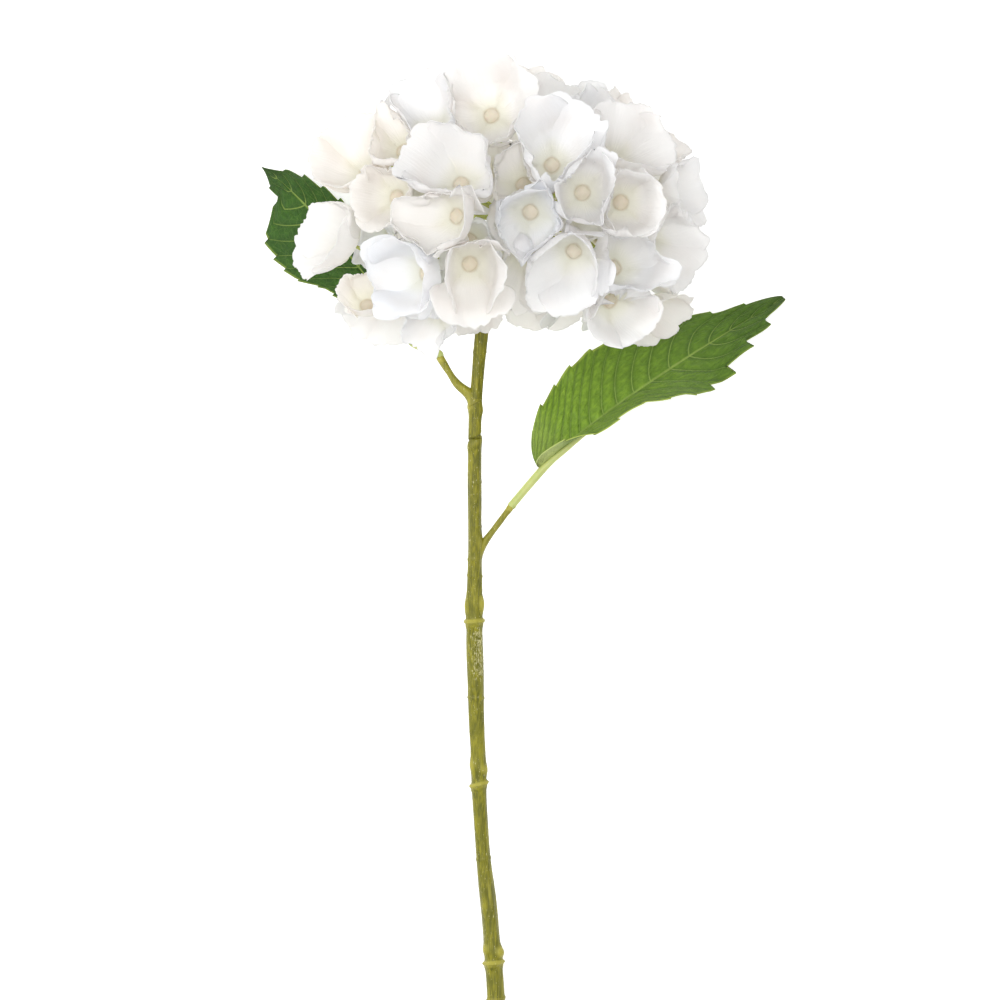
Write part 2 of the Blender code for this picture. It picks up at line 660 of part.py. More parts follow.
def settle(base, collection):
    """Move the whole model so that its box stands on z = 0, centred on the origin."""
    bpy.context.view_layer.update()
    graph = bpy.context.evaluated_depsgraph_get()
    lowest, highest = Vector((math.inf,) * 3), Vector((-math.inf,) * 3)
    for piece in collection.objects:
        if piece.type == "MESH":
            shape = piece.evaluated_get(graph)
            for vert in shape.data.vertices:
                place = shape.matrix_world @ vert.co
                lowest = Vector(map(min, lowest, place))
                highest = Vector(map(max, highest, place))
    middle = (lowest + highest) / 2
    base.location = (-middle.x, -middle.y, -lowest.z)


def main():
    clear_scene()
    model = new_collection("cut_hydrangea")
    tools = new_collection("cutters")
    stem_plastic = new_material("stem_plastic", (0.30, 0.31, 0.09), 0.5)
    stalk_plastic = new_material("stalk_plastic", (0.55, 0.62, 0.18), 0.45)
    spray_plastic = new_material("spray_plastic", (0.62, 0.66, 0.30), 0.5)
    leaf_fabric = new_material("leaf_fabric", (0.11, 0.20, 0.04), 0.6)
    petal_fabric = new_material("petal_fabric", (0.90, 0.89, 0.87), 0.7)

    base = bpy.data.objects.new("cut_hydrangea", None)
    model.objects.link(base)

    crown, stem = make_stem(model, tools, stem_plastic, base)
    for name in LEAVES:
        make_leaf(name, model, leaf_fabric, base)
        make_leaf_stalk(name, model, stalk_plastic, base)
    make_sprays(model, tools, spray_plastic, base, crown)
    head_stem = [point.to_3d() for point in stem if point.y > -100 * MM]
    obstacles = [((start, end), STEM_CLEARANCE) for start, end in zip(head_stem[::4], head_stem[4::4])]
    obstacles += [(bar, LEAF_CLEARANCE) for name in LEAVES for bar in leaf_bars(name)]
    make_florets(model, petal_fabric, base, obstacles)
    for tool in tools.objects:
        tool.parent = base
    settle(base, model)


main()
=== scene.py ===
import json
import math

import bmesh
import bpy
import numpy as np
from mathutils import Matrix, Vector, noise

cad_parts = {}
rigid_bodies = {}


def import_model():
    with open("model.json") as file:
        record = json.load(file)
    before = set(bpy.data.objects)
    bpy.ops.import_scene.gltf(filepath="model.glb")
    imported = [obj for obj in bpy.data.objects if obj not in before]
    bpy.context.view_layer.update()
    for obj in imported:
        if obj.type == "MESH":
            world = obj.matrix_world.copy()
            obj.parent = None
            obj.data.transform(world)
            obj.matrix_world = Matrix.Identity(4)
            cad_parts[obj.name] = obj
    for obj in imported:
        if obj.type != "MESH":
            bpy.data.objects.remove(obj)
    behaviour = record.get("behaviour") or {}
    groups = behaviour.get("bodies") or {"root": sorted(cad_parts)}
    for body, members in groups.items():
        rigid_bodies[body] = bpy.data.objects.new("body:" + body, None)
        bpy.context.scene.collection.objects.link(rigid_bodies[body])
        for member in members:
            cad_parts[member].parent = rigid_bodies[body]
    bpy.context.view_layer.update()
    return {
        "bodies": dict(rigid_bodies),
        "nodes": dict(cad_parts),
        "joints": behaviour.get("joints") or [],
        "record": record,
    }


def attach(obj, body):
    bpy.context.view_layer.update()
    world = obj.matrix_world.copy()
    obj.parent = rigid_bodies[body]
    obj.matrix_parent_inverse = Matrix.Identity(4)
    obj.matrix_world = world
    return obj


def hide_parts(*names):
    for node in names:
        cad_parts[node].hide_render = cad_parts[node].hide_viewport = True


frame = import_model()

scene = bpy.context.scene
nodes = frame["nodes"]
mm = 0.001


def toLinear(hexColour):  # sRGB hex to the linear colour that nodes take
    parts = [int(hexColour[i:i + 2], 16) / 255 for i in (0, 2, 4)]
    return (*[c / 12.92 if c <= 0.04045 else ((c + 0.055) / 1.055) ** 2.4 for c in parts], 1.0)


# kind is the node's type without ShaderNode; a value may be a number, a hex colour, a socket, or a node for
# its first output in use; MapRange takes 1 and 2 to 3 and 4 (0 and 1 if left out), Mix goes from 6 to 7
def addNode(tree, kind, inputs=None, **settings):
    node = tree.nodes.new("ShaderNode" + kind)
    for key, value in settings.items():
        setattr(node, key, value)
    for key, value in (inputs or {}).items():
        if isinstance(value, str):
            value = toLinear(value)
        elif isinstance(value, bpy.types.Node):
            value = next(socket for socket in value.outputs if socket.enabled)
        if isinstance(value, bpy.types.NodeSocket):
            tree.links.new(value, node.inputs[key])
        else:
            node.inputs[key].default_value = value
    return node


def newMaterial(name):
    material = bpy.data.materials.new(name)
    material.use_nodes = True
    material.node_tree.nodes.clear()
    return material, material.node_tree


def smooth(low, high, value):  # 0 below low, 1 above high, eased between; of a number or of an array
    t = np.minimum(1.0, np.maximum(0.0, (value - low) / (high - low)))
    return t * t * (3 - 2 * t)


def mix(first, second, share):
    return first + (second - first) * share


def waver(x, y, z):  # smooth noise round 0, the same in each run
    return noise.noise(Vector((x, y, z)))


def unit(vector):
    return vector / np.linalg.norm(vector)


def paintPoints(piece, name, values):  # a number for each point, that a material reads
    piece.data.attributes.new(name, "FLOAT", "POINT").data.foreach_set("value", values)


def thicken(piece, thickness):
    sheet = piece.modifiers.new("Thickness", "SOLIDIFY")
    sheet.thickness = thickness * mm
    sheet.offset = 0.0


def addObject(name, data):
    made = bpy.data.objects.new(name, data)
    scene.collection.objects.link(made)
    return made


def addMesh(name, shape, material):
    mesh = bpy.data.meshes.new(name)
    shape.to_mesh(mesh)
    shape.free()
    mesh.materials.append(material)
    return addObject(name, mesh)


def finishPiece(name, shape, material, stands=()):  # stands are the CAD nodes that it replaces
    piece = addMesh(name, shape, material)
    piece.data.shade_smooth()
    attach(piece, "root")
    if stands:
        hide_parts(*stands)
    return piece


# Petals: polyester cloth, cut and heat formed, so it is matt, soft-edged and lets light through


def petalCloth():
    material, tree = newMaterial("polyester petal cloth")
    place = addNode(tree, "TexCoord").outputs["Object"]
    sheet = addNode(tree, "UVMap", uv_map="petal")
    split = addNode(tree, "SeparateXYZ", {0: sheet})
    reach = split.outputs["Y"]  # centimetres from the eye
    cloud = addNode(tree, "TexNoise", {"Vector": place, "Scale": 55.0, "Detail": 3.0})  # 18 mm wide
    tone = addNode(tree, "Attribute", attribute_name="tone").outputs["Fac"]
    warm = addNode(tree, "Mix", {0: tone, 6: "f8f9fb", 7: "faf8f5"}, data_type="RGBA")
    blush = addNode(tree, "MapRange", {0: cloud, 1: 0.45, 2: 0.75, 4: 0.5})
    tinted = addNode(tree, "Mix", {0: blush, 6: warm, 7: "f8f5f3"}, data_type="RGBA")
    # cream and green towards the base
    base = addNode(tree, "MapRange", {0: reach, 1: 1.3, 2: 0.3, 4: 0.55}, interpolation_type="SMOOTHSTEP")
    creamy = addNode(tree, "Mix", {0: base, 6: tinted, 7: "f1f0df"}, data_type="RGBA")
    # dyed eye, 8 mm across, with a soft edge
    eye = addNode(tree, "MapRange", {0: reach, 1: 0.46, 2: 0.3, 4: 0.85}, interpolation_type="SMOOTHSTEP")
    dyed = addNode(tree, "Mix", {0: eye, 6: creamy, 7: "e0d7c2"}, data_type="RGBA")
    # pressed veins run out from the eye
    stretch = addNode(tree, "Mapping", {"Vector": sheet, "Scale": (34.0, 0.7, 1.0)})
    veins = addNode(tree, "TexNoise", {"Vector": stretch, "Scale": 1.0})
    veinBump = addNode(tree, "Bump", {"Height": veins, "Strength": 0.35, "Distance": 0.0006})
    # threads 0.7 mm apart, coarser than real ones so that they show
    weave = addNode(tree, "TexNoise", {"Vector": place, "Scale": 1400.0, "Detail": 1.0})
    woven = addNode(tree, "Bump", {"Height": weave, "Strength": 0.15, "Distance": 0.0002, "Normal": veinBump})
    cloth = addNode(tree, "BsdfPrincipled", {
        "Base Color": dyed, "Roughness": 0.68, "IOR": 1.45, "Sheen Weight": 0.12, "Sheen Roughness": 0.5,
        "Normal": woven,
    })
    through = addNode(tree, "BsdfTranslucent", {"Color": dyed, "Normal": woven})
    both = addNode(tree, "MixShader", {0: 0.5, 1: cloth, 2: through})
    addNode(tree, "OutputMaterial", {0: both})
    return material


# Stem: one soft PVC moulding, with the nodes, collars and buds of the mould

stem = {
    "route": [  # mm from the head's middle, with the radius
        (-9.0, -12.0, 63.0, 3.2),
        (-15.0, -59.0, 58.4, 3.0),
        (-17.2, -85.0, 55.2, 2.9),
        (-18.0, -110.0, 51.3, 3.3),
        (-18.0, -160.0, 42.6, 3.2),
        (-18.0, -210.0, 33.8, 4.0),
        (-16.5, -257.0, 25.6, 3.6),
        (-14.5, -300.0, 18.2, 3.5),
        (-10.5, -339.0, 12.1, 4.0),
        (-8.0, -374.0, 7.4, 4.1),
        (-5.5, -413.0, 4.2, 4.1),
    ],
    "topY": -10.0,
    "jointY": -105.5,
    "routeSteps": 1600,
    "ringSpacing": 0.7,
    "segments": 40,
    # place along Y, rise, half length, way round (0 up, 90 right), half spread round, slant
    "marks": [
        (-65.3, 0.16, 0.7, 0, 400, 0.3),
        (-91, 0.75, 3, -78, 55, 0),
        (-92.5, 0.55, 2.6, 85, 45, 0),
        (-105.5, -0.45, 0.45, 0, 400, 1.6),
        (-108.5, 0.3, 2.2, 0, 400, 1.6),
        (-126.9, 0.22, 0.6, 60, 70, 0.4),
        (-147.2, 0.22, 0.6, 50, 80, -0.5),
        (-155.4, 0.6, 5, 80, 60, 0),
        (-162.9, 0.26, 0.6, 0, 400, 0.4),
        (-171, 0.26, 0.6, 0, 400, -0.3),
        (-184.5, 1.05, 4.6, 62, 30, 0),
        (-185.6, 0.8, 5.2, -88, 26, 0),
        (-179.5, -0.25, 1, 62, 36, 0),
        (-192.5, 1.05, 0.8, 0, 400, 0.3),
        (-194.4, 0.35, 1.4, 0, 400, 0.3),
        (-223.8, 0.35, 1.9, -18, 30, 0),
        (-223.8, -0.45, 1, -18, 15, 0),
        (-229.1, 0.3, 0.6, 0, 400, -0.3),
        (-261.1, 0.7, 3.4, -60, 42, 0),
        (-263.6, 0.75, 3, 55, 42, 0),
        (-270.5, 0.95, 0.8, 0, 400, 0.9),
        (-272.2, 0.35, 1.3, 0, 400, 0.9),
        (-306.5, 0.25, 0.6, 0, 400, 0.2),
        (-324, 0.7, 8, 6, 26, 0),
        (-324, -0.95, 6, -2, 9, 0),
        (-350.1, 0.75, 2.8, -62, 38, 0),
        (-351.7, 1.25, 2.8, 62, 40, 0),
        (-356.7, 1.05, 0.8, 0, 400, 0.3),
        (-358.4, 0.35, 1.3, 0, 400, 0.3),
        (-374.3, 0.45, 0.7, 0, 400, 0.3),
    ],
    "markScale": 1.35,  # times each rise
    "cracked": (-197.3, -219.6, 35, 60, 0.3),  # a crazed patch: from, to, way round, half spread, depth
    "crackWidth": 0.22,  # of the noise that draws the cracks
    "scuffSpread": 50,  # degrees half round, of the pale scratches on the patch
    "ribs": 0.4,  # mm, soft lengthwise ridges
    "grain": 0.06,  # mm
    "cutRounding": 0.45,  # mm, at the lower end
}


def throughPoints(points, share):  # a smooth line through evenly numbered points of any size
    count = len(points) - 1
    i = min(count - 1, int(share * count))
    t = share * count - i
    p1, p2 = points[i], points[i + 1]
    p0 = points[i - 1] if i else p1 * 2 - p2
    p3 = points[i + 2] if i + 2 <= count else p2 * 2 - p1
    start = p1 * 2 + (p2 - p0) * t
    return (start + (p0 * 2 - p1 * 5 + p2 * 4 - p3) * t**2 + (p1 * 3 - p0 - p2 * 3 + p3) * t**3) / 2


def lineThrough(rows, steps):
    points = [Vector(row) for row in rows]
    return [throughPoints(points, i / steps) for i in range(steps + 1)]


def cutEnd(node):  # middle of the stem's cut end
    corners = {tuple(round(c, 7) for c in v.co) for v in node.data.vertices}
    low = min(c[1] for c in corners)
    ring = [Vector(c) for c in corners if c[1] < low + 1.3 * mm]
    return sum(ring, Vector()) / len(ring)


headMiddle = cutEnd(nodes["stem_lower"]) - Vector(stem["route"][-1][:3]) * mm
headMiddle.z = 0
headHeight = 65.0  # mm, of the head's middle over the floor

# Leaves: printed polyester, heat pressed along its veins, with a PVC rib and a bare cut edge

leaves = {
    "right": {
        "rib": [(12.2, -119.5, 43), (49.5, -88, 49), (84, -65.5, 24), (130.5, -38, 0.4)],  # Bezier points, mm
        "belly": 0.38,  # share of its length where it is widest
        "halves": {  # left and right of the rib: half width, teeth and their depth in mm; rise over level in
            # degrees and trim of the width, both by share of the length
            1: {
                "width": 29, "teeth": 11, "depth": 2.2, "rise": [(0, -18), (1, -18)],
                "trim": [(0, 1), (0.7, 1), (0.78, 0.84), (0.88, 0.8), (1, 1)],
            },
            -1: {
                "width": 27, "teeth": 12, "depth": 6.0,
                "rise": [(0, 118), (0.1, 100), (0.2, 78), (0.38, 76), (0.5, 54), (0.6, 28), (0.67, 20),
                         (0.8, 32), (1, 46)],
                "trim": [(0, 0.9), (1, 1)],
            },
        },
        "veins": [  # shares of the length where the side veins leave the rib
            0.02, 0.06, 0.1, 0.14, 0.18, 0.225, 0.28, 0.34, 0.41, 0.48, 0.56, 0.64, 0.72, 0.8, 0.88, 0.96,
            1.15,
        ],
        "relief": 0.8,  # mm between a vein and a swell
        "curl": 2.2,  # mm that the edge waves
    },
    "left": {
        "rib": [(-46.5, -61.5, 46), (-62.5, -38.5, 28), (-91.5, 4.5, 32), (-120.5, 25, 0.4)],
        "belly": 0.6,
        "halves": {
            1: {
                "width": 25, "teeth": 15, "depth": 2.8, "rise": [(0, -8), (1, -8)],
                "trim": [(0, 0.8), (0.3, 0.8), (0.45, 0.82), (0.56, 1.1), (0.8, 1.34), (0.86, 0.5),
                         (0.93, 0.62), (1, 0.1)],
            },
            -1: {
                "width": 24, "teeth": 14, "depth": 2.2, "rise": [(0, 4), (1, 4)],
                "trim": [(0, 0.8), (0.42, 0.9), (0.62, 0.6), (0.8, 0.6), (0.9, 0.6), (1, 0.1)],
            },
        },
        "veins": [0.02, 0.08, 0.14, 0.21, 0.28, 0.35, 0.43, 0.51, 0.59, 0.67, 0.75, 0.83, 0.91, 1.1],
        "relief": 0.6,
        "curl": 1.2,
    },
}
leafForm = {  # what the two leaves share
    "rows": 180,
    "columns": 44,
    "thickness": 0.45,  # mm
    "sweep": 0.2,  # how far a side vein runs to the tip, as a share of the length
    "sweepBend": 1.35,
    "toothFrom": 0.72,  # share of the half width
    "toothShape": 1.3,
    "groove": 0.5,  # mm, along the rib
    "swell": 1.1,  # mm, slow waves
}


def bezier(points, t):
    a, b, c, d = (Vector(p) for p in points)
    s = 1 - t
    return a * s**3 + b * (3 * s * s * t) + c * (3 * s * t * t) + d * t**3


def fromTable(rows, share):
    return np.interp(share, *zip(*rows))


def ribFrame(leaf, share):
    place = bezier(leaf["rib"], share)
    ahead, behind = bezier(leaf["rib"], min(1, share + 0.01)), bezier(leaf["rib"], max(0, share - 0.01))
    along = (ahead - behind).normalized()
    left = Vector((0, 0, 1)).cross(along).normalized()
    return place, along, left, along.cross(left)


def headObstacles():  # the stem and the leaves, as lines that the florets keep clear of
    steps, near, bars = 60, 16, 14  # points on the stem, those near the head, and bars across each leaf
    line = [headMiddle + point.to_3d() * mm for point in lineThrough(stem["route"], steps)[:near]]
    found = [((np.array(a), np.array(b)), floret["stemRoom"] * mm) for a, b in zip(line, line[1:])]
    for leaf in leaves.values():
        for bar in range(1, bars):
            right, middle, left = [np.array(leafPoint(leaf, bar / bars, across)) for across in (-1, 0, 1)]
            found += [((middle, end), floret["leafRoom"] * mm) for end in (right, left)]
    return found


def veinCount(leaf, share, across):  # rises by one from each side vein to the next
    x = share - leafForm["sweep"] * abs(across) ** leafForm["sweepBend"]
    veins = leaf["veins"]
    if x < veins[0]:
        return (x - veins[0]) / (veins[1] - veins[0])
    return np.interp(x, veins, range(len(veins)))


def leafPoint(leaf, share, across):
    place, along, left, up = ribFrame(leaf, share)
    sign = 1 if across > 0 else -1
    half = leaf["halves"][sign]
    power = math.log(0.5) / math.log(leaf["belly"])
    fullness = math.sin(math.pi * share**power) ** 0.8 * (1 - 0.28 * share**3) + 0.05
    reach = half["width"] * fullness * fromTable(half["trim"], share)
    reach *= 1 + 0.05 * waver(share * 9, sign * 3.3, half["width"])
    phase = share ** 0.85 * half["teeth"]
    tooth = (phase % 1.0) ** leafForm["toothShape"] - 0.45
    size = half["depth"] * min(1.0, reach / 9) * smooth(0.03, 0.12, share) * smooth(1.0, 0.93, share)
    size *= 0.75 + 0.5 * waver(math.floor(phase) * 1.9, sign, 0.5)
    edge = abs(across)
    atTooth = smooth(leafForm["toothFrom"], 1.0, edge)
    reach = reach * edge + tooth * size * atTooth
    forward = tooth * size * 0.5 * atTooth  # teeth lean to the tip
    rise = math.radians(fromTable(half["rise"], share))
    point = place + (left * sign * math.cos(rise) + up * math.sin(rise)) * reach + along * forward
    out = up * math.cos(rise) - left * sign * math.sin(rise)
    # pressed veins and the swells between them
    count = veinCount(leaf, share, across)
    gap = abs(count - round(count))
    strength = leaf["relief"] * smooth(0.0, 0.15, edge) * smooth(1.0, 0.75, edge) * smooth(1.0, 0.8, share)
    height = strength * (math.sin(math.pi * min(1.0, gap * 2) / 2) ** 0.7 - 0.5)
    height -= leafForm["groove"] * math.exp(-((edge / 0.03) ** 2))
    # slow waves, and an edge that curls
    height += leafForm["swell"] * noise.noise(point * 0.045 + Vector((3.1, 0, 0))) * smooth(0, 0.4, edge)
    wave = waver(share * 11, sign * 2.0, 4.0)
    height += leaf["curl"] * wave * smooth(0.6, 1.0, edge) * smooth(0, 0.1, share)
    point += out * height
    point.z = max(point.z, leafForm["thickness"] * 0.6)
    return headMiddle + point * mm


# Lengths in mm, angles in degrees; a floret's size multiplies length, halfWidth and curl
floret = {
    "hubRadius": 4.6,  # the flat middle
    "hubShare": 0.15,  # part of the grid's length that it takes
    "hubBlend": 0.28,  # share of the petal over which the hub's roundness fades
    "rows": 19,
    "columns": 36,
    "lineSteps": 60,
    "length": 26.5,
    "halfWidth": 18.5,
    "widest": 0.56,  # share of a petal's length
    "fullness": 0.85,
    "roundness": 2.7,
    "hubSlope": 84.0,  # of a petal's line, away from the axis
    "settleRate": 1.7,  # how soon it takes the slope of its opening
    "closing": 14.0,  # taken off an opening, which the curling tip gives back
    "openingSpread": 4.0,
    "tipCurl": 34.0,
    "curl": 14.0,  # radius of the curve across a petal
    "rolledFrom": 24.0,  # mean opening, below which petals roll in and are narrower
    "rolledSpan": 12.0,
    "rolledNarrow": 0.22,
    "layerGap": 0.5,
    "thickness": 0.22,
    "core": 12.0,  # stretch of the axis that a floret's cup keeps
    "deepCore": 5.0,
    "bend": 26.0,  # radius of the rounded border that an upper floret has with a lower one
    "bendSteps": 1.5,  # steps of lap that bend a border fully
    "bendReach": 20.0,
    "margin": 0.25,
    "leastRoom": 3.5,  # between a leaned border and the ends of both axes
    "leastReach": 0.1,  # share of its reach that a point always keeps
    "borderWave": 0.9,
    "lapTilt": 11.0,  # that a shared plane leans, for each step of lap
    "lapLimit": 32.0,
    "stemRoom": 5.0,
    "leafRoom": 1.5,
    "ruffle": 1.7,
    "drift": 0.7,
    "crease": 0.3,
    "endWave": 0.12,  # what the ragged end adds or takes, in shares of the length
    "endNick": 0.11,
    "endFray": 0.035,
    "setBack": 1.6,  # by which one petal of a floret may end before the next
    "fray": 0.8,
    "lowest": 0.2,  # over the floor
}

# By CAD node: turn of the petals, size, opening of all petals or of each, and lap over the neighbours
floretLooks = [
    (65, 1.18, (46, 48, 44, 44), 1),
    (70, 1.34, (42, 52, 46, 26), 2),
    (40, 1.00, (70, 66, 70, 66), 1),
    (30, 1.05, (38, 16, 30, 48), 2),
    (90, 1.34, (18, 4, 30, 3), 3),
    (20, 1.08, (12, 16, 50, 36), 2),
    (90, 1.20, (24, 9, 22, 8), 3),
    (45, 0.74, (40, 36, 40, 44), -1),
    (0, 0.70, (42, 40, 42, 42), -2),
    (0, 1.10, (10, 26, 50, 20), 2),
    (0, 0.80, (30, 38, 30, 38), 0),
    (20, 0.95, (40, 40, 40, 34), 0),
    (60, 0.95, (48, 32, 48, 34), 1),
    (20, 0.82, (36, 38, 38, 36), 1),
    (10, 0.60, (24, 30, 26, 22), 2),
    (0, 0.76, 46, -1),
    (20, 1.00, 55, 0),
    (0, 0.95, 55, -1),
    (25, 1.00, (36, 42, 42, 38), 0),
    (18, 1.15, (42, 34, 46, 52), 1),
    (45, 1.26, (50, 42, 60, 6), 2),
    (0, 0.92, (55, 50, 55, 50), -2),
    (45, 0.95, (55, 52, 55, 50), -1),
    (20, 0.95, (52, 52, 52, 50), 0),
    (20, 1.00, 58, 0),
    (45, 1.00, 58, 1),
    (0, 1.00, 58, -1),
    (0, 1.05, (24, 18, 2, 18), 3),
    (0, 1.00, (42, 42, 36, 42), 0),
    (30, 0.90, 50, 0),
    (20, 0.80, (48, 48, 40, 48), 1),
    (35, 1.15, (50, 50, 30, 30), 0),
    (45, 0.98, (24, 6, 26, 26), 3),
    (0, 0.70, 46, -1),
    (45, 0.95, (44, 42, 36, 42), -1),
    (20, 0.85, 50, 0),
    (20, 0.92, 55, 1),
    (45, 1.00, 58, 0),
    (0, 0.95, 58, 1),
    (45, 0.85, 58, -1),
    (0, 0.72, 55, 0),
    (20, 1.00, 60, 1),
    (45, 1.00, 60, -1),
    (0, 1.00, 60, 1),
    (20, 1.00, 60, -1),
    (30, 1.00, 60, 0),
    (45, 1.00, 60, -1),
    (45, 0.95, 60, 0),
]

# Florets too deep in the head to be solids of their own: place from the head's middle in mm, the way each
# faces to the right and up, then turn, size, openings and lap
deepFlorets = [
    (4, -3, 38, 4, -5, 20, 1.00, 62, -3),
    (-20, -14, 32, -21, -22, 50, 1.00, 62, -4),
    (-13, 16, 32, -14, 26, 10, 1.05, 62, -3),
    (30, 2, 29, 31, 3, 35, 1.00, 62, -4),
    (7, -21, 28, 9, -34, 45, 0.90, 60, -4),
    (14, 30, 21, 22, 51, 0, 0.95, 62, -4),
    (-36, 5, 24, -42, 9, 30, 1.00, 62, -4),
    (-20, 31, 13, -45, 59, 15, 0.95, 62, -4),
    (-20, -27, 16, -38, -50, 60, 0.85, 62, -4),
    (40, 16, 14, 61, 29, 0, 0.95, 62, -4),
    (-40, -17, 8, -72, -33, 25, 0.95, 62, -4),
    (30, -29, 6, 75, -57, 40, 0.95, 62, -4),
    (45, -4, 2, 94, -6, 10, 0.90, 62, -4),
    (-38, 20, 4, -85, 40, 55, 0.90, 62, -4),
]


def readFloret(node):  # the eye and the axis of a floret, from the ring of points round its hole
    points = np.unique(np.round([tuple(v.co) for v in node.data.vertices], 7), axis=0)
    gaps = np.linalg.norm(points[:, None] - points[None], axis=2)
    crowd = (gaps < 3.3 * mm).sum(1)  # the hole's 16 points have the most neighbours
    ring = points[np.argsort(-crowd)[:16]]
    eye = ring.mean(0)
    axis = np.linalg.svd(ring - eye)[2][2]
    if axis @ (points.mean(0) - eye) < 0:
        axis = -axis
    return eye, axis


def facing(right, up):
    right, up = math.radians(right), math.radians(up)
    return np.array([math.sin(right) * math.cos(up), math.sin(up), math.cos(right) * math.cos(up)])


def frameOf(eye, axis):
    side = unit(np.cross((0.0, 1.0, 0.0), axis))
    turn = np.array([side, np.cross(axis, side), axis]).T
    return Matrix.Translation(Vector(eye)) @ Matrix(turn.tolist()).to_4x4()


def nearestOn(first, second):  # the points of two straight lines that are closest to each other
    a, b, gap = first[1] - first[0], second[1] - second[0], first[0] - second[0]
    aa, bb, ab = a @ a, b @ b, a @ b
    spread = aa * bb - ab * ab
    s = 0.5 if spread < 1e-14 else (ab * (b @ gap) - bb * (a @ gap)) / spread
    s = min(1.0, max(0.0, s))
    for _ in range(4):
        t = min(1.0, max(0.0, (b @ gap + s * ab) / bb))
        s = min(1.0, max(0.0, (t * ab - a @ gap) / aa))
    return first[0] + a * s, second[0] + b * t


def sharedPlanes(index, cores, rows, obstacles):
    planes = []  # that keep a floret clear of the others, of the stem and leaves, and of the floor
    own = cores[index]
    for other, core in enumerate(cores):
        if other == index:
            continue
        mine, theirs = nearestOn(own, core)
        share = rows[index]["size"] / (rows[index]["size"] + rows[other]["size"])
        point, normal = mine + (theirs - mine) * share, unit(theirs - mine)
        both = unit(own[1] - own[0]) + unit(core[1] - core[0])
        up = both - normal * (both @ normal)
        steps = rows[other]["lap"] - rows[index]["lap"]
        tilt = max(-floret["lapLimit"], min(floret["lapLimit"], floret["lapTilt"] * steps))
        if np.linalg.norm(up) > 1.0:
            for part in (1.0, 0.75, 0.5, 0.25):
                leaned = unit(normal + unit(up) * math.tan(math.radians(tilt * part)))
                room = [(point - end) @ leaned for end in own] + [(end - point) @ leaned for end in core]
                if min(room) > floret["leastRoom"] * mm:
                    normal = leaned
                    break
        bend = max(-1.0, min(1.0, -steps / floret["bendSteps"])) / (2 * floret["bend"] * mm)
        planes.append((point, normal, bend, (index + other) * 1.7, 1.0 if index < other else -1.0))
    for core, radius in obstacles:
        mine, theirs = nearestOn(own, core)
        away = unit(theirs - mine)
        planes.append((theirs - away * radius, away, 0.0, 0.0, 0.0))
    planes.append((np.zeros(3), np.array([0, 0, -1.0]), 0.0, 0.0, 0.0))
    return planes


borderWaves = np.array([(190.0, 150.0, -170.0), (-380.0, 460.0, 330.0)])  # radians per metre


def crowded(points, planes, frame, margins, core):  # draws points in to the axis, inside every plane
    matrix, inverse = np.array(frame), np.array(frame.inverted())
    onAxis = np.zeros_like(points)
    onAxis[:, 2] = np.clip(points[:, 2], 0, core * mm)
    reach = points - onAxis
    keep = np.ones(len(points))
    for _ in range(3):
        wanted = np.ones(len(points))
        here = onAxis + reach * keep[:, None]
        phases = (here @ matrix[:3, :3].T + matrix[:3, 3]) @ borderWaves.T
        for point, normal, bend, phase, side in planes:
            place = inverse[:3, :3] @ point + inverse[:3, 3]
            way = inverse[:3, :3] @ normal
            off = here - place
            aside = np.minimum((off * off).sum(1) - (off @ way) ** 2, (floret["bendReach"] * mm) ** 2)
            wave = np.sin(phases[:, 0] + phase) + 0.6 * np.sin(phases[:, 1] + 2.3 * phase)
            room = (place - onAxis) @ way - margins - bend * aside - side * wave * floret["borderWave"] * mm
            push = reach @ way
            over = push > np.maximum(room, 1e-6)
            share = np.maximum(floret["leastReach"], room[over] / push[over])
            wanted[over] = np.minimum(wanted[over], share)
        keep = wanted
    return onAxis + reach * keep[:, None]


def petalLine(size, opening):  # the middle line of a petal: radius, height and slope, in mm
    steps, start = floret["lineSteps"], floret["hubSlope"]
    radius, height, rows = floret["hubRadius"], 0.0, []
    for i in range(steps + 1):
        t = i / steps
        settle = min(1.0, floret["settleRate"] * t)
        turned = (opening - floret["closing"] - start) * settle * (2 - settle)
        slope = math.radians(start + turned + floret["tipCurl"] * t**3)
        rows.append((radius, height, slope))
        radius += math.sin(slope) * floret["length"] * size / steps
        height += math.cos(slope) * floret["length"] * size / steps
    return np.array(rows)


def petalShares(a, b):  # from the flat grid to a share of the length and of the half width, with a round end
    s = np.clip((a - floret["hubShare"]) / (1 - floret["hubShare"]), 0, 1)
    widest, roundness = floret["widest"], floret["roundness"]
    y = np.clip((s - widest) / (1 - widest), 0, 1)
    length = np.where(s < widest, s, widest + (1 - widest) * y * np.sqrt(1 - b * b / roundness))
    return length, b * np.sqrt(1 - y * y / roundness)


def alongRim(v, often, seed, level):  # noise by the place across a petal
    return np.array([waver(share * often, seed, level) for share in v])


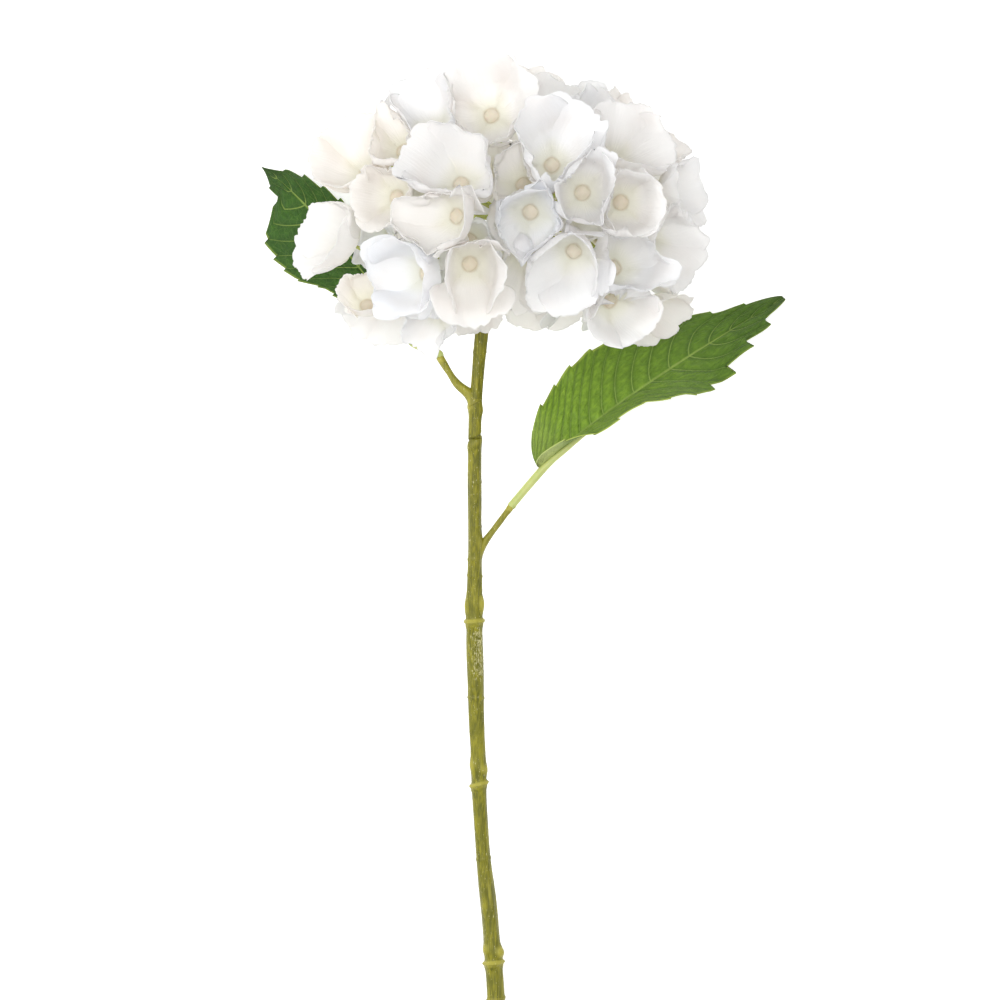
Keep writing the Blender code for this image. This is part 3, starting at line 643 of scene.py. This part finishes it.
def makeFloret(frame, look, planes, material, seed):
    shape = bmesh.new()
    uvs = shape.loops.layers.uv.new("petal")
    size = look["size"]
    rolled = (floret["rolledFrom"] - sum(look["opening"]) / 4) / floret["rolledSpan"]
    widest = floret["halfWidth"] * size * (1 - floret["rolledNarrow"] * min(1.0, max(0.0, rolled)))
    placed, edges = {}, []
    corner = floret["hubRadius"] * math.sqrt(0.5)
    for k in range(4):
        grid = bmesh.ops.create_grid(
            shape, x_segments=floret["rows"], y_segments=floret["columns"], size=0.5
        )["verts"]
        a = np.array([vert.co.x + 0.5 for vert in grid])
        b = np.array([2 * vert.co.y for vert in grid])
        s, v = petalShares(a, b)
        opening = look["opening"][k] + floret["openingSpread"] * waver(seed * 1.3, k * 2.9, 0.6)
        line = petalLine(size, opening)
        # a ragged end: waves, nicks and frays
        waves = alongRim(v, 2.1, seed * 3.7 + k * 5.3, 0.3)
        nicks = alongRim(v, 9.0, seed * 2.3 + k * 7.1, 1.9)
        frays = alongRim(v, 26.0, seed * 4.1 + k * 3.7, 7.3)
        torn = floret["endWave"] * waves - floret["endNick"] * np.maximum(0, nicks - 0.05)
        torn = torn + floret["endFray"] * frays
        s = s * (1 + torn * s**3)
        row = [np.interp(s * floret["lineSteps"], np.arange(len(line)), line[:, i]) for i in range(3)]
        beyond = np.maximum(0, s - 1) * floret["length"] * size
        radius, height, slope = row[0] + beyond * np.sin(row[2]), row[1] + beyond * np.cos(row[2]), row[2]
        grown = np.clip(s / floret["widest"], 0, 1)
        half = corner + (widest - corner) * np.sin(grown * math.pi / 2) ** floret["fullness"]
        across = v * half
        # the sides drop in a curve that stays clear of the axis
        curl = np.maximum(radius * 1.05, floret["curl"] * size)
        most = np.maximum(radius - 3.0, 1.5)
        drop = most * (1 - np.exp(-(across**2) / (2 * curl * most)))
        x = radius - np.cos(slope) * drop
        z = height + np.sin(slope) * drop * smooth(0.0, 0.2, s)
        # the four petals meet in one round hub
        hubFix = 1 - smooth(0.0, floret["hubBlend"], s)
        way = v * math.pi / 4
        x0 = floret["hubRadius"] - np.cos(line[0, 2]) * (v * corner) ** 2 / (2 * (floret["curl"] * size))
        x = x + (floret["hubRadius"] * np.cos(way) - x0) * hubFix
        across = across + (floret["hubRadius"] * np.sin(way) - v * corner) * hubFix
        inHub = np.minimum(1.0, a / floret["hubShare"])
        x, across = x * inHub, across * inHub
        # every other petal lies over its neighbours
        layer = floret["layerGap"] * (1 if k % 2 else -1) * smooth(0.3, 0.9, np.abs(v))
        layer = layer * smooth(0.05, 0.35, s)
        x, z = x + layer * np.cos(slope), z - layer * np.sin(slope)
        angle = math.radians(look["turn"] + 90 * k)
        right = x * math.cos(angle) - across * math.sin(angle)
        up = x * math.sin(angle) + across * math.cos(angle)
        spots = np.stack([right, up, z], axis=1)
        rim = smooth(0.65, 1.0, np.abs(b)) * smooth(0.35, 0.65, a)
        rim = np.maximum(smooth(0.7, 1.0, a), rim)
        setBack = 0.5 + waver(seed * 7.7, k * 6.1, 3.1)  # this petal ends before the others
        frayed = floret["fray"] * (np.maximum(0, nicks) * 2.2 + np.abs(frays))
        edge = rim * (floret["setBack"] * setBack + frayed)
        faces = {face for vert in grid for face in vert.link_faces}
        index = {vert: i for i, vert in enumerate(grid)}
        lengthAt = inHub * floret["hubRadius"] + s * floret["length"] * size
        for face in faces:
            for loop in face.loops:
                i = index[loop.vert]
                loop[uvs].uv = (k + 0.5 + 0.45 * v[i], lengthAt[i] / 10)
        for i, vert in enumerate(grid):
            vert.co = spots[i] * mm
            placed[vert] = (s[i], v[i], k, rim[i])
            edges.append(max(0.0, edge[i]))
    bmesh.ops.recalc_face_normals(shape, faces=shape.faces)
    shape.normal_update()
    moves = []
    for vert, (s, v, k, rim) in placed.items():
        near = vert.co / mm
        drift = noise.noise(near * 0.085 + Vector((seed * 11.7, 0, 0))) * floret["drift"] * smooth(0, 0.5, s)
        ruffle = waver(v * 2.6, s * 1.8, seed * 5.9 + k * 9.7) * look["ruffle"] * rim
        fine = waver(v * 8.0, s * 5.0, seed * 2.9 + k * 4.7) * 0.35 * rim
        crease = -floret["crease"] * math.exp(-((v / 0.09) ** 2)) * smooth(0, 0.3, s) * (1 - 0.6 * s)
        moves.append(vert.normal * ((drift + ruffle + fine + crease) * mm))
    verts = list(placed)
    for vert, move in zip(verts, moves):
        vert.co += move
    margins = (floret["margin"] + np.array(edges)) * mm
    spots = crowded(np.array([tuple(vert.co) for vert in verts]), planes, frame, margins, look["core"])
    for vert, spot in zip(verts, spots):
        vert.co = spot
    bmesh.ops.remove_doubles(shape, verts=shape.verts, dist=0.01 * mm)
    bmesh.ops.smooth_vert(
        shape, verts=shape.verts, factor=0.25, use_axis_x=True, use_axis_y=True, use_axis_z=True
    )
    bmesh.ops.recalc_face_normals(shape, faces=shape.faces)
    bmesh.ops.transform(shape, verts=shape.verts, matrix=frame)
    for vert in shape.verts:
        vert.co.z = max(vert.co.z, floret["lowest"] * mm)
    piece = finishPiece(look["name"], shape, material, look["stands"])
    paintPoints(piece, "tone", [look["tone"]] * len(piece.data.vertices))
    thicken(piece, floret["thickness"])


petalMaterial = petalCloth()
eyes, florets = [], []
for number, (turn, size, opening, lap) in enumerate(floretLooks, start=1):
    node = f"floret_{number:02d}"
    eye, axis = readFloret(nodes[node])
    florets.append({"name": f"petals_{number:02d}", "stands": [node], "core": floret["core"], "eye": eye,
                    "axis": axis, "turn": turn, "size": size, "opening": opening, "lap": lap})
for number, (x, y, z, right, up, turn, size, opening, lap) in enumerate(deepFlorets, start=1):
    eye = np.array(headMiddle) + np.array([x, y, z + headHeight]) * mm
    florets.append({"name": f"petals_deep_{number:02d}", "stands": [], "core": floret["deepCore"], "eye": eye,
                    "axis": facing(right, up), "turn": turn, "size": size, "opening": opening, "lap": lap})
cores = [(f["eye"], f["eye"] + f["axis"] * f["core"] * mm) for f in florets]
obstacles = headObstacles()
for seed, look in enumerate(florets, start=1):
    if not isinstance(look["opening"], tuple):
        look["opening"] = (look["opening"],) * 4
    look["ruffle"] = floret["ruffle"] * (1 + 0.5 * waver(seed * 3.1, 1.7, 0.2))
    look["tone"] = 0.5 + 0.9 * waver(seed * 1.7, 0.3, 0.9)
    frameHere = frameOf(look["eye"], look["axis"])
    eyes.append(frameHere)
    makeFloret(frameHere, look, sharedPlanes(seed - 1, cores, florets, obstacles), petalMaterial, seed)
print("florets made")


def makeTube(name, line, radiusAt, material, stands, segments):
    # a grid rolled round a line in mm from the head's middle; radiusAt takes (ring number, way round)
    count = len(line) - 1
    centres = [headMiddle + point.to_3d() * mm for point in line]
    shape = bmesh.new()
    grid = bmesh.ops.create_grid(shape, x_segments=count, y_segments=segments, size=0.5)["verts"]
    frames = []
    for ring in range(count + 1):
        along = (centres[min(count, ring + 1)] - centres[max(0, ring - 1)]).normalized()
        up = Vector((0, 0, 1))
        up = (up - along * up.dot(along)).normalized()
        frames.append((along, up, up.cross(along)))
    for vert in grid:
        ring, way = round((vert.co.x + 0.5) * count), (vert.co.y + 0.5) * 2 * math.pi
        along, up, side = frames[ring]
        radius = radiusAt(ring, way) * mm
        vert.co = centres[ring] + (up * math.cos(way) + side * math.sin(way)) * radius
    bmesh.ops.remove_doubles(shape, verts=grid, dist=0.004 * mm)
    ends = [edge for edge in shape.edges if edge.is_boundary]
    bmesh.ops.holes_fill(shape, edges=ends, sides=0)
    bmesh.ops.recalc_face_normals(shape, faces=shape.faces)
    return finishPiece(name, shape, material, stands)


def mouldedStem():
    material, tree = newMaterial("moulded PVC stem")  # satin, with a paler skin where the mould pinched
    place = addNode(tree, "TexCoord").outputs["Object"]
    proud = addNode(tree, "Attribute", attribute_name="proud").outputs["Fac"]
    along = addNode(tree, "Mapping", {"Vector": place, "Scale": (380.0, 42.0, 380.0)})
    streak = addNode(tree, "TexNoise", {"Vector": along, "Scale": 1.0, "Detail": 4.0})  # 3 mm wide
    blotch = addNode(tree, "TexNoise", {"Vector": place, "Scale": 130.0, "Detail": 3.0})  # 8 mm wide
    # lines drawn down the mould, 0.7 mm apart
    drawn = addNode(tree, "Mapping", {"Vector": place, "Scale": (1400.0, 28.0, 1400.0)})
    line = addNode(tree, "TexNoise", {"Vector": drawn, "Scale": 1.0, "Detail": 3.0})
    lines = addNode(tree, "Mix", {0: 0.6, 2: streak, 3: line})
    lined = addNode(tree, "MapRange", {0: lines, 1: 0.4, 2: 0.6})
    green = addNode(tree, "Mix", {0: lined, 6: "5e5e04", 7: "908b1a"}, data_type="RGBA")
    patch = addNode(tree, "MapRange", {0: blotch, 1: 0.42, 2: 0.68, 4: 0.6})
    mottled = addNode(tree, "Mix", {0: patch, 6: green, 7: "636405"}, data_type="RGBA")
    pale = addNode(tree, "MapRange", {0: proud, 1: 0.25, 2: 1.0, 4: 0.75})
    capped = addNode(tree, "Mix", {0: pale, 6: mottled, 7: "b4ac44"}, data_type="RGBA")
    # painted shade: darker in the sunken marks and in the cracks
    deep = addNode(tree, "MapRange", {0: proud, 1: -0.1, 2: -0.6, 4: 0.85})
    shaded = addNode(tree, "Mix", {0: deep, 6: capped, 7: "4a4819"}, data_type="RGBA")
    # pale scratches, many in the scuffed patch; the few elsewhere are painted highlights, specks where the
    # ribs catch the light
    scuffed = addNode(tree, "Attribute", attribute_name="scuffed").outputs["Fac"]
    thin = addNode(tree, "Mapping", {"Vector": place, "Scale": (2400.0, 500.0, 2400.0)})
    flecks = addNode(tree, "TexNoise", {"Vector": thin, "Scale": 1.0, "Detail": 3.0})  # 0.4 mm by 2 mm
    level = addNode(tree, "MapRange", {0: scuffed, 3: 0.66, 4: 0.5})
    over = addNode(tree, "Math", {0: flecks, 1: level}, operation="SUBTRACT")
    scuffsAndGlints = addNode(tree, "MapRange", {0: over, 1: 0.0, 2: 0.05, 4: 0.8})
    # real scuffs in the patch, painted highlights elsewhere on the stem
    scuffedAndGlinting = addNode(tree, "Mix", {0: scuffsAndGlints, 6: shaded, 7: "d6d09a"}, data_type="RGBA")
    fine = addNode(tree, "TexNoise", {"Vector": place, "Scale": 900.0})  # 1 mm wide
    grain = addNode(tree, "Bump", {"Height": lines, "Strength": 0.8, "Distance": 0.0007})
    skin = addNode(tree, "Bump", {"Height": fine, "Strength": 0.25, "Distance": 0.0002, "Normal": grain})
    plastic = addNode(tree, "BsdfPrincipled", {
        "Base Color": scuffedAndGlinting, "Roughness": 0.5, "IOR": 1.46, "Normal": skin,
    })
    addNode(tree, "OutputMaterial", {0: plastic})
    return material


def markHeight(y, way):  # how far the mould's marks stand proud of the stem, in mm
    rise = 0.0
    degrees = math.degrees(way)
    for place, height, half, centre, spread, slant in stem["marks"]:
        gap = (y - place - slant * math.sin(way)) / half
        if abs(gap) < 3:
            turn = (degrees - centre + 180) % 360 - 180
            rise += stem["markScale"] * height * math.exp(-gap * gap - (turn / spread) ** 2)
    start, end, centre, spread, depth = stem["cracked"]
    if end < y < start:
        turn = (degrees - centre + 180) % 360 - 180
        crack = abs(waver(math.sin(way) * 3.2, math.cos(way) * 3.2, y * 0.75))
        rise -= depth * math.exp(-((turn / spread) ** 2)) * smooth(stem["crackWidth"], 0.02, crack)
    return rise


def makeStemPart(name, node, fromY, toY, material):
    route = np.array(lineThrough(stem["route"], stem["routeSteps"]))[::-1]  # from the cut end up
    ys = [y for y in route[:, 1] if toY <= y <= fromY]
    count = round((ys[-1] - ys[0]) / stem["ringSpacing"])
    levels = np.linspace(ys[-1], ys[0], count + 1)
    rings = [Vector([np.interp(y, route[:, 1], column) for column in route.T]) for y in levels]

    def radiusAt(ring, way):
        row = rings[ring]
        mark = markHeight(row.y, way)
        ribs = waver(math.cos(way) * 1.6, math.sin(way) * 1.6, row.y * 0.045) * stem["ribs"]
        grain = waver(math.cos(way) * 4, math.sin(way) * 4, row.y * 0.5) * stem["grain"]
        cut = stem["cutRounding"] * max(0, ring - count + 2) / 2 if name == "stem_shaft" else 0
        return row.w + mark + ribs + grain - cut

    piece = makeTube(name, rings, radiusAt, material, [node], stem["segments"])
    heights, scuffs = [], []
    start, end, centre = stem["cracked"][:3]
    for vert in piece.data.vertices:
        y = (vert.co.y - headMiddle.y) / mm
        row = rings[min(count, max(0, round((rings[0].y - y) / (rings[0].y - rings[-1].y) * count)))]
        offset = vert.co - headMiddle - row.to_3d() * mm
        way = math.atan2(offset.x, offset.z)
        heights.append(markHeight(y, way))
        turn = (math.degrees(way) - centre + 180) % 360 - 180
        around = math.exp(-((turn / stem["scuffSpread"]) ** 2))
        scuffs.append(smooth(start + 4, start - 3, y) * smooth(end - 4, end + 3, y) * around)
    paintPoints(piece, "proud", heights)
    paintPoints(piece, "scuffed", scuffs)


stemMaterial = mouldedStem()
makeStemPart("stem_neck", "stem_upper", stem["topY"], stem["jointY"], stemMaterial)
makeStemPart("stem_shaft", "stem_lower", stem["jointY"], stem["route"][-1][1], stemMaterial)

stubs = {
    "right": [  # mm from the head's middle, with the radius
        (-18.0, -161.9, 41.6, 3.6),
        (-14.0, -155.9, 42.5, 2.0),
        (-9.5, -149.9, 43.4, 1.55),
        (-4.5, -143.2, 44.0, 1.45),
        (-0.5, -137.9, 44.0, 1.75),
    ],
    "left": [
        (-17.4, -89.5, 54.6, 3.9),
        (-20.5, -85, 54.2, 2.7),
        (-26.0, -80.5, 53.4, 2.0),
        (-30.5, -74, 51.6, 1.6),
        (-34.5, -67.5, 50.0, 1.95),
    ],
}
stub = {"steps": 44, "segments": 24, "unevenness": 0.11, "lip": 2.2}  # the lip is the paler end, in mm
for side, route in stubs.items():
    steps = lineThrough(route, stub["steps"])

    def stubRadius(ring, way):
        rough = waver(math.cos(way), math.sin(way), ring * 0.12 + len(side))
        return steps[ring].w * (1 + rough * stub["unevenness"])

    piece = makeTube(f"stub_{side}", steps, stubRadius, stemMaterial, [], stub["segments"])
    lipY = headMiddle.y + (steps[-1].y - stub["lip"]) * mm
    paintPoints(piece, "proud", [0.95 if vert.co.y > lipY else 0.5 for vert in piece.data.vertices])
print("stem made")

# Flower stalks: the thin PVC branches inside the head, and a bud tip through each eye


def stalkPlastic(name, low, high, roughness):  # even and dull, and light goes a little way in
    material, tree = newMaterial(name)
    place = addNode(tree, "TexCoord").outputs["Object"]
    cloud = addNode(tree, "TexNoise", {"Vector": place, "Scale": 160.0, "Detail": 3.0})  # 6 mm wide
    colour = addNode(tree, "Mix", {0: cloud, 6: low, 7: high}, data_type="RGBA")
    fine = addNode(tree, "TexNoise", {"Vector": place, "Scale": 900.0})  # 1 mm wide
    bump = addNode(tree, "Bump", {"Height": fine, "Strength": 0.3, "Distance": 0.0003})
    plastic = addNode(tree, "BsdfPrincipled", {
        "Base Color": colour, "Roughness": roughness, "IOR": 1.5, "Subsurface Weight": 0.1,
        "Subsurface Scale": 0.001, "Normal": bump,
    })
    addNode(tree, "OutputMaterial", {0: plastic})
    return material


branches = {"skin": 0.45, "softening": 0.5, "passes": 3}  # mm between the points of the skin
branchMaterial = stalkPlastic("soft PVC flower stalk", "a3ad4c", "c6cb7e", 0.45)
for node in ("spray_front", "spray_left", "spray_top", "spray_right", "spray_back"):
    shape = bmesh.new()
    shape.from_mesh(nodes[node].data)
    bmesh.ops.remove_doubles(shape, verts=shape.verts, dist=0.01 * mm)
    piece = finishPiece(node.replace("spray", "branches"), shape, branchMaterial, [node])
    skin = piece.modifiers.new("Skin", "REMESH")
    skin.mode = "VOXEL"
    skin.voxel_size = branches["skin"] * mm
    skin.use_smooth_shade = True
    soften = piece.modifiers.new("Soften", "SMOOTH")
    soften.factor = branches["softening"]
    soften.iterations = branches["passes"]

bud = {  # a low cap over the stalk's end
    "radius": 3.4,  # mm
    "height": 1.55,
    "lift": 0.08,
    "lobes": 0.05,  # share of the radius that its four lobes add
    "segments": 20,
    "rings": 10,
}
budMaterial = stalkPlastic("flocked bud tip", "cfc5b0", "dcd4c2", 0.9)
buds = bmesh.new()
for place in eyes:
    tip = bmesh.ops.create_uvsphere(
        buds, u_segments=bud["segments"], v_segments=bud["rings"], radius=bud["radius"] * mm
    )["verts"]
    for vert in tip:
        lobe = 1 + bud["lobes"] * math.cos(4 * math.atan2(vert.co.y, vert.co.x))
        share = vert.co.xy.length / (bud["radius"] * mm)
        top = bud["height"] * (1 - share**2) * mm if vert.co.z > 0 else 0.0
        vert.co = (vert.co.x * lobe, vert.co.y * lobe, top + bud["lift"] * mm)
    bmesh.ops.transform(buds, verts=tip, matrix=place)
finishPiece("bud_tips", buds, budMaterial)
print("flower stalks made")


def leafCloth():
    material, tree = newMaterial("printed polyester leaf")  # matt and mottled, with paler veins and edge
    place = addNode(tree, "TexCoord").outputs["Object"]
    sheet = addNode(tree, "UVMap", uv_map="leaf")
    split = addNode(tree, "SeparateXYZ", {0: sheet})
    veinUv, acrossUv = split.outputs["X"], split.outputs["Y"]
    paler = addNode(tree, "Attribute", attribute_name="paler").outputs["Fac"]
    edgeRun = addNode(tree, "Attribute", attribute_name="edge").outputs["Fac"]
    under = addNode(tree, "Attribute", attribute_name="under").outputs["Fac"]
    cloud = addNode(tree, "TexNoise", {"Vector": place, "Scale": 45.0, "Detail": 4.0})  # 22 mm wide
    mottle = addNode(tree, "TexNoise", {"Vector": place, "Scale": 260.0, "Detail": 5.0})  # 4 mm wide
    spots = addNode(tree, "MapRange", {0: mottle, 1: 0.35, 2: 0.7})
    dark = addNode(tree, "Mix", {0: paler, 6: "2f580b", 7: "7b9d27"}, data_type="RGBA")
    light = addNode(tree, "Mix", {0: paler, 6: "3f6b13", 7: "91b434"}, data_type="RGBA")
    mixed = addNode(tree, "Math", {0: cloud, 1: spots}, operation="MULTIPLY")
    spread = addNode(tree, "MapRange", {0: mixed, 1: 0.02, 2: 0.6})
    ground = addNode(tree, "Mix", {0: spread, 6: dark, 7: light}, data_type="RGBA")
    # side veins at each whole number of the first coordinate, the middle one at zero of the second
    rounded = addNode(tree, "Math", {0: veinUv}, operation="ROUND")
    offVein = addNode(tree, "Math", {0: veinUv, 1: rounded}, operation="SUBTRACT")
    gap = addNode(tree, "Math", {0: offVein}, operation="ABSOLUTE")
    wide = addNode(tree, "Math", {0: acrossUv}, operation="ABSOLUTE")
    sideVein = addNode(tree, "MapRange", {0: gap, 1: 0.055, 2: 0.012})
    fading = addNode(tree, "MapRange", {0: wide, 1: 0.98, 2: 0.25, 3: 0.2, 4: 0.8})
    sideLine = addNode(tree, "Math", {0: sideVein, 1: fading}, operation="MULTIPLY")
    middleLine = addNode(tree, "MapRange", {0: wide, 1: 0.035, 2: 0.012, 4: 0.9})
    # a net of the finest veins, 3 mm wide
    net = addNode(tree, "TexVoronoi", {"Vector": place, "Scale": 330.0}, feature="DISTANCE_TO_EDGE")
    netLine = addNode(tree, "MapRange", {0: net, 1: 0.07, 2: 0.0, 4: 0.10})
    # painted shade: each swell between two veins is darker next to the veins and in its creases, which run
    # across it
    ladder = addNode(tree, "Mapping", {"Vector": sheet, "Scale": (2.2, 16.0, 1.0)})
    crease = addNode(tree, "TexNoise", {"Vector": ladder, "Scale": 1.0})
    swell = addNode(tree, "MapRange", {0: gap, 1: 0.03, 2: 0.33, 3: 0.62, 4: 0.0})
    creased = addNode(tree, "MapRange", {0: crease, 1: 0.62, 2: 0.42, 4: 0.3})
    shade = addNode(tree, "Math", {0: swell, 1: creased}, operation="MAXIMUM")
    shaded = addNode(tree, "Mix", {0: shade, 6: ground, 7: "2e520c"}, data_type="RGBA")
    lines = addNode(tree, "Math", {0: sideLine, 1: middleLine}, operation="MAXIMUM")
    allLines = addNode(tree, "Math", {0: lines, 1: netLine}, operation="MAXIMUM")
    veined = addNode(tree, "Mix", {0: allLines, 6: shaded, 7: "93ad50"}, data_type="RGBA")
    rimmed = addNode(tree, "Mix", {0: edgeRun, 6: veined, 7: "b7c95a"}, data_type="RGBA")
    backed = addNode(tree, "Mix", {0: under, 6: rimmed, 7: "c4d27c"}, data_type="RGBA")
    lineBump = addNode(tree, "Math", {0: allLines, 1: -1.0}, operation="MULTIPLY")
    pressed = addNode(tree, "Bump", {"Height": lineBump, "Strength": 0.6, "Distance": 0.0004})
    ridged = addNode(tree, "Bump", {"Height": crease, "Strength": 0.8, "Distance": 0.0016, "Normal": pressed})
    # puckers 6 mm wide, and threads 0.7 mm apart, coarser than real ones so that they show
    quilt = addNode(tree, "TexNoise", {"Vector": place, "Scale": 170.0})
    weave = addNode(tree, "TexNoise", {"Vector": place, "Scale": 1500.0, "Detail": 1.0})
    soft = addNode(tree, "Bump", {"Height": quilt, "Strength": 0.5, "Distance": 0.0018, "Normal": ridged})
    threads = addNode(tree, "Bump", {"Height": weave, "Strength": 0.5, "Distance": 0.0003, "Normal": soft})
    cloth = addNode(tree, "BsdfPrincipled", {
        "Base Color": backed, "Roughness": 0.62, "IOR": 1.45, "Sheen Weight": 0.05, "Normal": threads,
    })
    through = addNode(tree, "BsdfTranslucent", {"Color": backed})
    both = addNode(tree, "MixShader", {0: 0.12, 1: cloth, 2: through})
    addNode(tree, "OutputMaterial", {0: both})
    return material


leafMaterial = leafCloth()
for side, leaf in leaves.items():
    shape = bmesh.new()
    uvs = shape.loops.layers.uv.new("leaf")
    paler = shape.verts.layers.float.new("paler")
    edge = shape.verts.layers.float.new("edge")
    under = shape.verts.layers.float.new("under")
    bmesh.ops.create_grid(shape, x_segments=leafForm["rows"], y_segments=leafForm["columns"], size=0.5)
    flat = {vert: (vert.co.x + 0.5, 2 * vert.co.y) for vert in shape.verts}
    for face in shape.faces:
        for loop in face.loops:
            share, across = flat[loop.vert]
            loop[uvs].uv = (veinCount(leaf, share, across), across)
    for vert, (share, across) in flat.items():
        vert[paler] = mix(0.3, 1.0, smooth(0.95, 0.1, share)) if side == "right" else 0.0
        vert[edge] = smooth(0.955, 1.0, abs(across)) * (0.9 if share < 0.45 else 0.55)
        if side == "right":  # its right half turns its underside up at the stalk
            vert[under] = smooth(0.16, 0.05, share) * (1.0 if across < 0 else 0.2)
        else:
            vert[under] = smooth(0.06, 0.0, share)
        vert.co = leafPoint(leaf, share, across)
    bmesh.ops.recalc_face_normals(shape, faces=shape.faces)
    piece = finishPiece(f"leaf_cloth_{side}", shape, leafMaterial, [f"leaf_{side}"])
    thicken(piece, leafForm["thickness"])
print("leaves made")

# Leaf stalks: a soft PVC sleeve on the stub, which runs on as the rib below the leaf

sleeve = {
    "mouth": {"right": 2.15, "left": 2.2},  # mm, radius over the stub's end
    "radius": 1.9,
    "tip": 0.35,
    "run": (0.02, 0.72),  # shares of the leaf's length that the rib runs between
    "ribSteps": 8,
    "steps": 150,
    "segments": 20,
}
sleeveMaterial = stalkPlastic("soft PVC leaf stalk", "b0bb66", "cbd188", 0.42)
for side, mouth in sleeve["mouth"].items():
    leaf = leaves[side]
    start, end = (Vector(stubs[side][i][:3]) for i in (2, 4))
    way = (end - start).normalized()
    points = [Vector((*(end + way * 0.3), mouth)), Vector((*(end + way * 2.5), sleeve["radius"]))]
    for step in range(sleeve["ribSteps"] + 1):
        along = step / sleeve["ribSteps"]
        share = mix(*sleeve["run"], along)
        place, _, left, up = ribFrame(leaf, share)
        first, second = (math.radians(fromTable(leaf["halves"][sign]["rise"], share)) for sign in (1, -1))
        out = left * (math.cos(first) - math.cos(second)) + up * (math.sin(first) + math.sin(second))
        below = -out.normalized() if out.length > 0.3 else -up
        radius = mix(sleeve["radius"], sleeve["tip"], along**0.8)
        spot = place + below * (radius * 0.8 + leafForm["thickness"])
        spot.z = max(spot.z, radius + 0.05)
        points.append(Vector((*spot, radius)))
    steps = lineThrough(points, sleeve["steps"])

    def sleeveRadius(ring, way):
        rough = waver(math.cos(way) * 2, math.sin(way) * 2, ring * 0.1)
        return max(0.2, steps[ring].w) * (1 + 0.05 * rough)

    stands = [f"leaf_{side}_stalk"]
    name = f"leaf_rib_{side}"
    makeTube(name, steps, sleeveRadius, sleeveMaterial, stands, sleeve["segments"])
print("leaf stalks made")

# Floor, light and camera

studio = {
    "floor": 4.0,  # m, half its width
    "floorGlow": 0.5,
    "sky": 0.57,
    "key": {"size": 1.2, "energy": 19, "place": (-1.5, 0.15, 1.75), "aim": (0, 0.1, 0)},
    "fill": {"size": 1.4, "energy": 23, "place": (0.1, 0.1, 2.4), "aim": (0.1, 0.1, 0)},
    "bounces": 32,  # white cloth lights itself from petal to petal
    "camera": (-6.0, -135.1, 3070.0),  # mm from the head's middle
    "range": 3.0,  # m, at which the view is as wide as the next line says
    "width": 0.47,
}

board, tree = newMaterial("matt white board")  # even and bright, with soft shadows
paint = addNode(tree, "BsdfPrincipled", {
    "Base Color": "fafafa", "Roughness": 0.9, "Emission Color": (1, 1, 1, 1),
    "Emission Strength": studio["floorGlow"],
})
addNode(tree, "OutputMaterial", {0: paint})
shape = bmesh.new()
bmesh.ops.create_grid(shape, x_segments=1, y_segments=1, size=studio["floor"])
addMesh("floor", shape, board)

world = bpy.data.worlds.new("studio")
scene.world = world
world.use_nodes = True
world.node_tree.nodes["Background"].inputs[0].default_value = (1, 1, 1, 1)
world.node_tree.nodes["Background"].inputs[1].default_value = studio["sky"]
for name in ("key", "fill"):
    lamp = bpy.data.lights.new(name, "AREA")
    lamp.shape = "DISK"
    lamp.size = studio[name]["size"]
    lamp.energy = studio[name]["energy"]
    lampObject = addObject(name, lamp)
    lampObject.location = studio[name]["place"]
    way = Vector(studio[name]["aim"]) - lampObject.location
    lampObject.rotation_euler = way.to_track_quat("-Z", "Y").to_euler()
scene.cycles.max_bounces = studio["bounces"]
scene.cycles.diffuse_bounces = studio["bounces"]

camera = bpy.data.cameras.new("camera")
camera.lens = camera.sensor_width * studio["range"] / studio["width"]
cameraObject = addObject("camera", camera)
cameraObject.location = headMiddle + Vector(studio["camera"]) * mm
scene.camera = cameraObject
scene.view_settings.view_transform = "Standard"

print("floor, light and camera set")
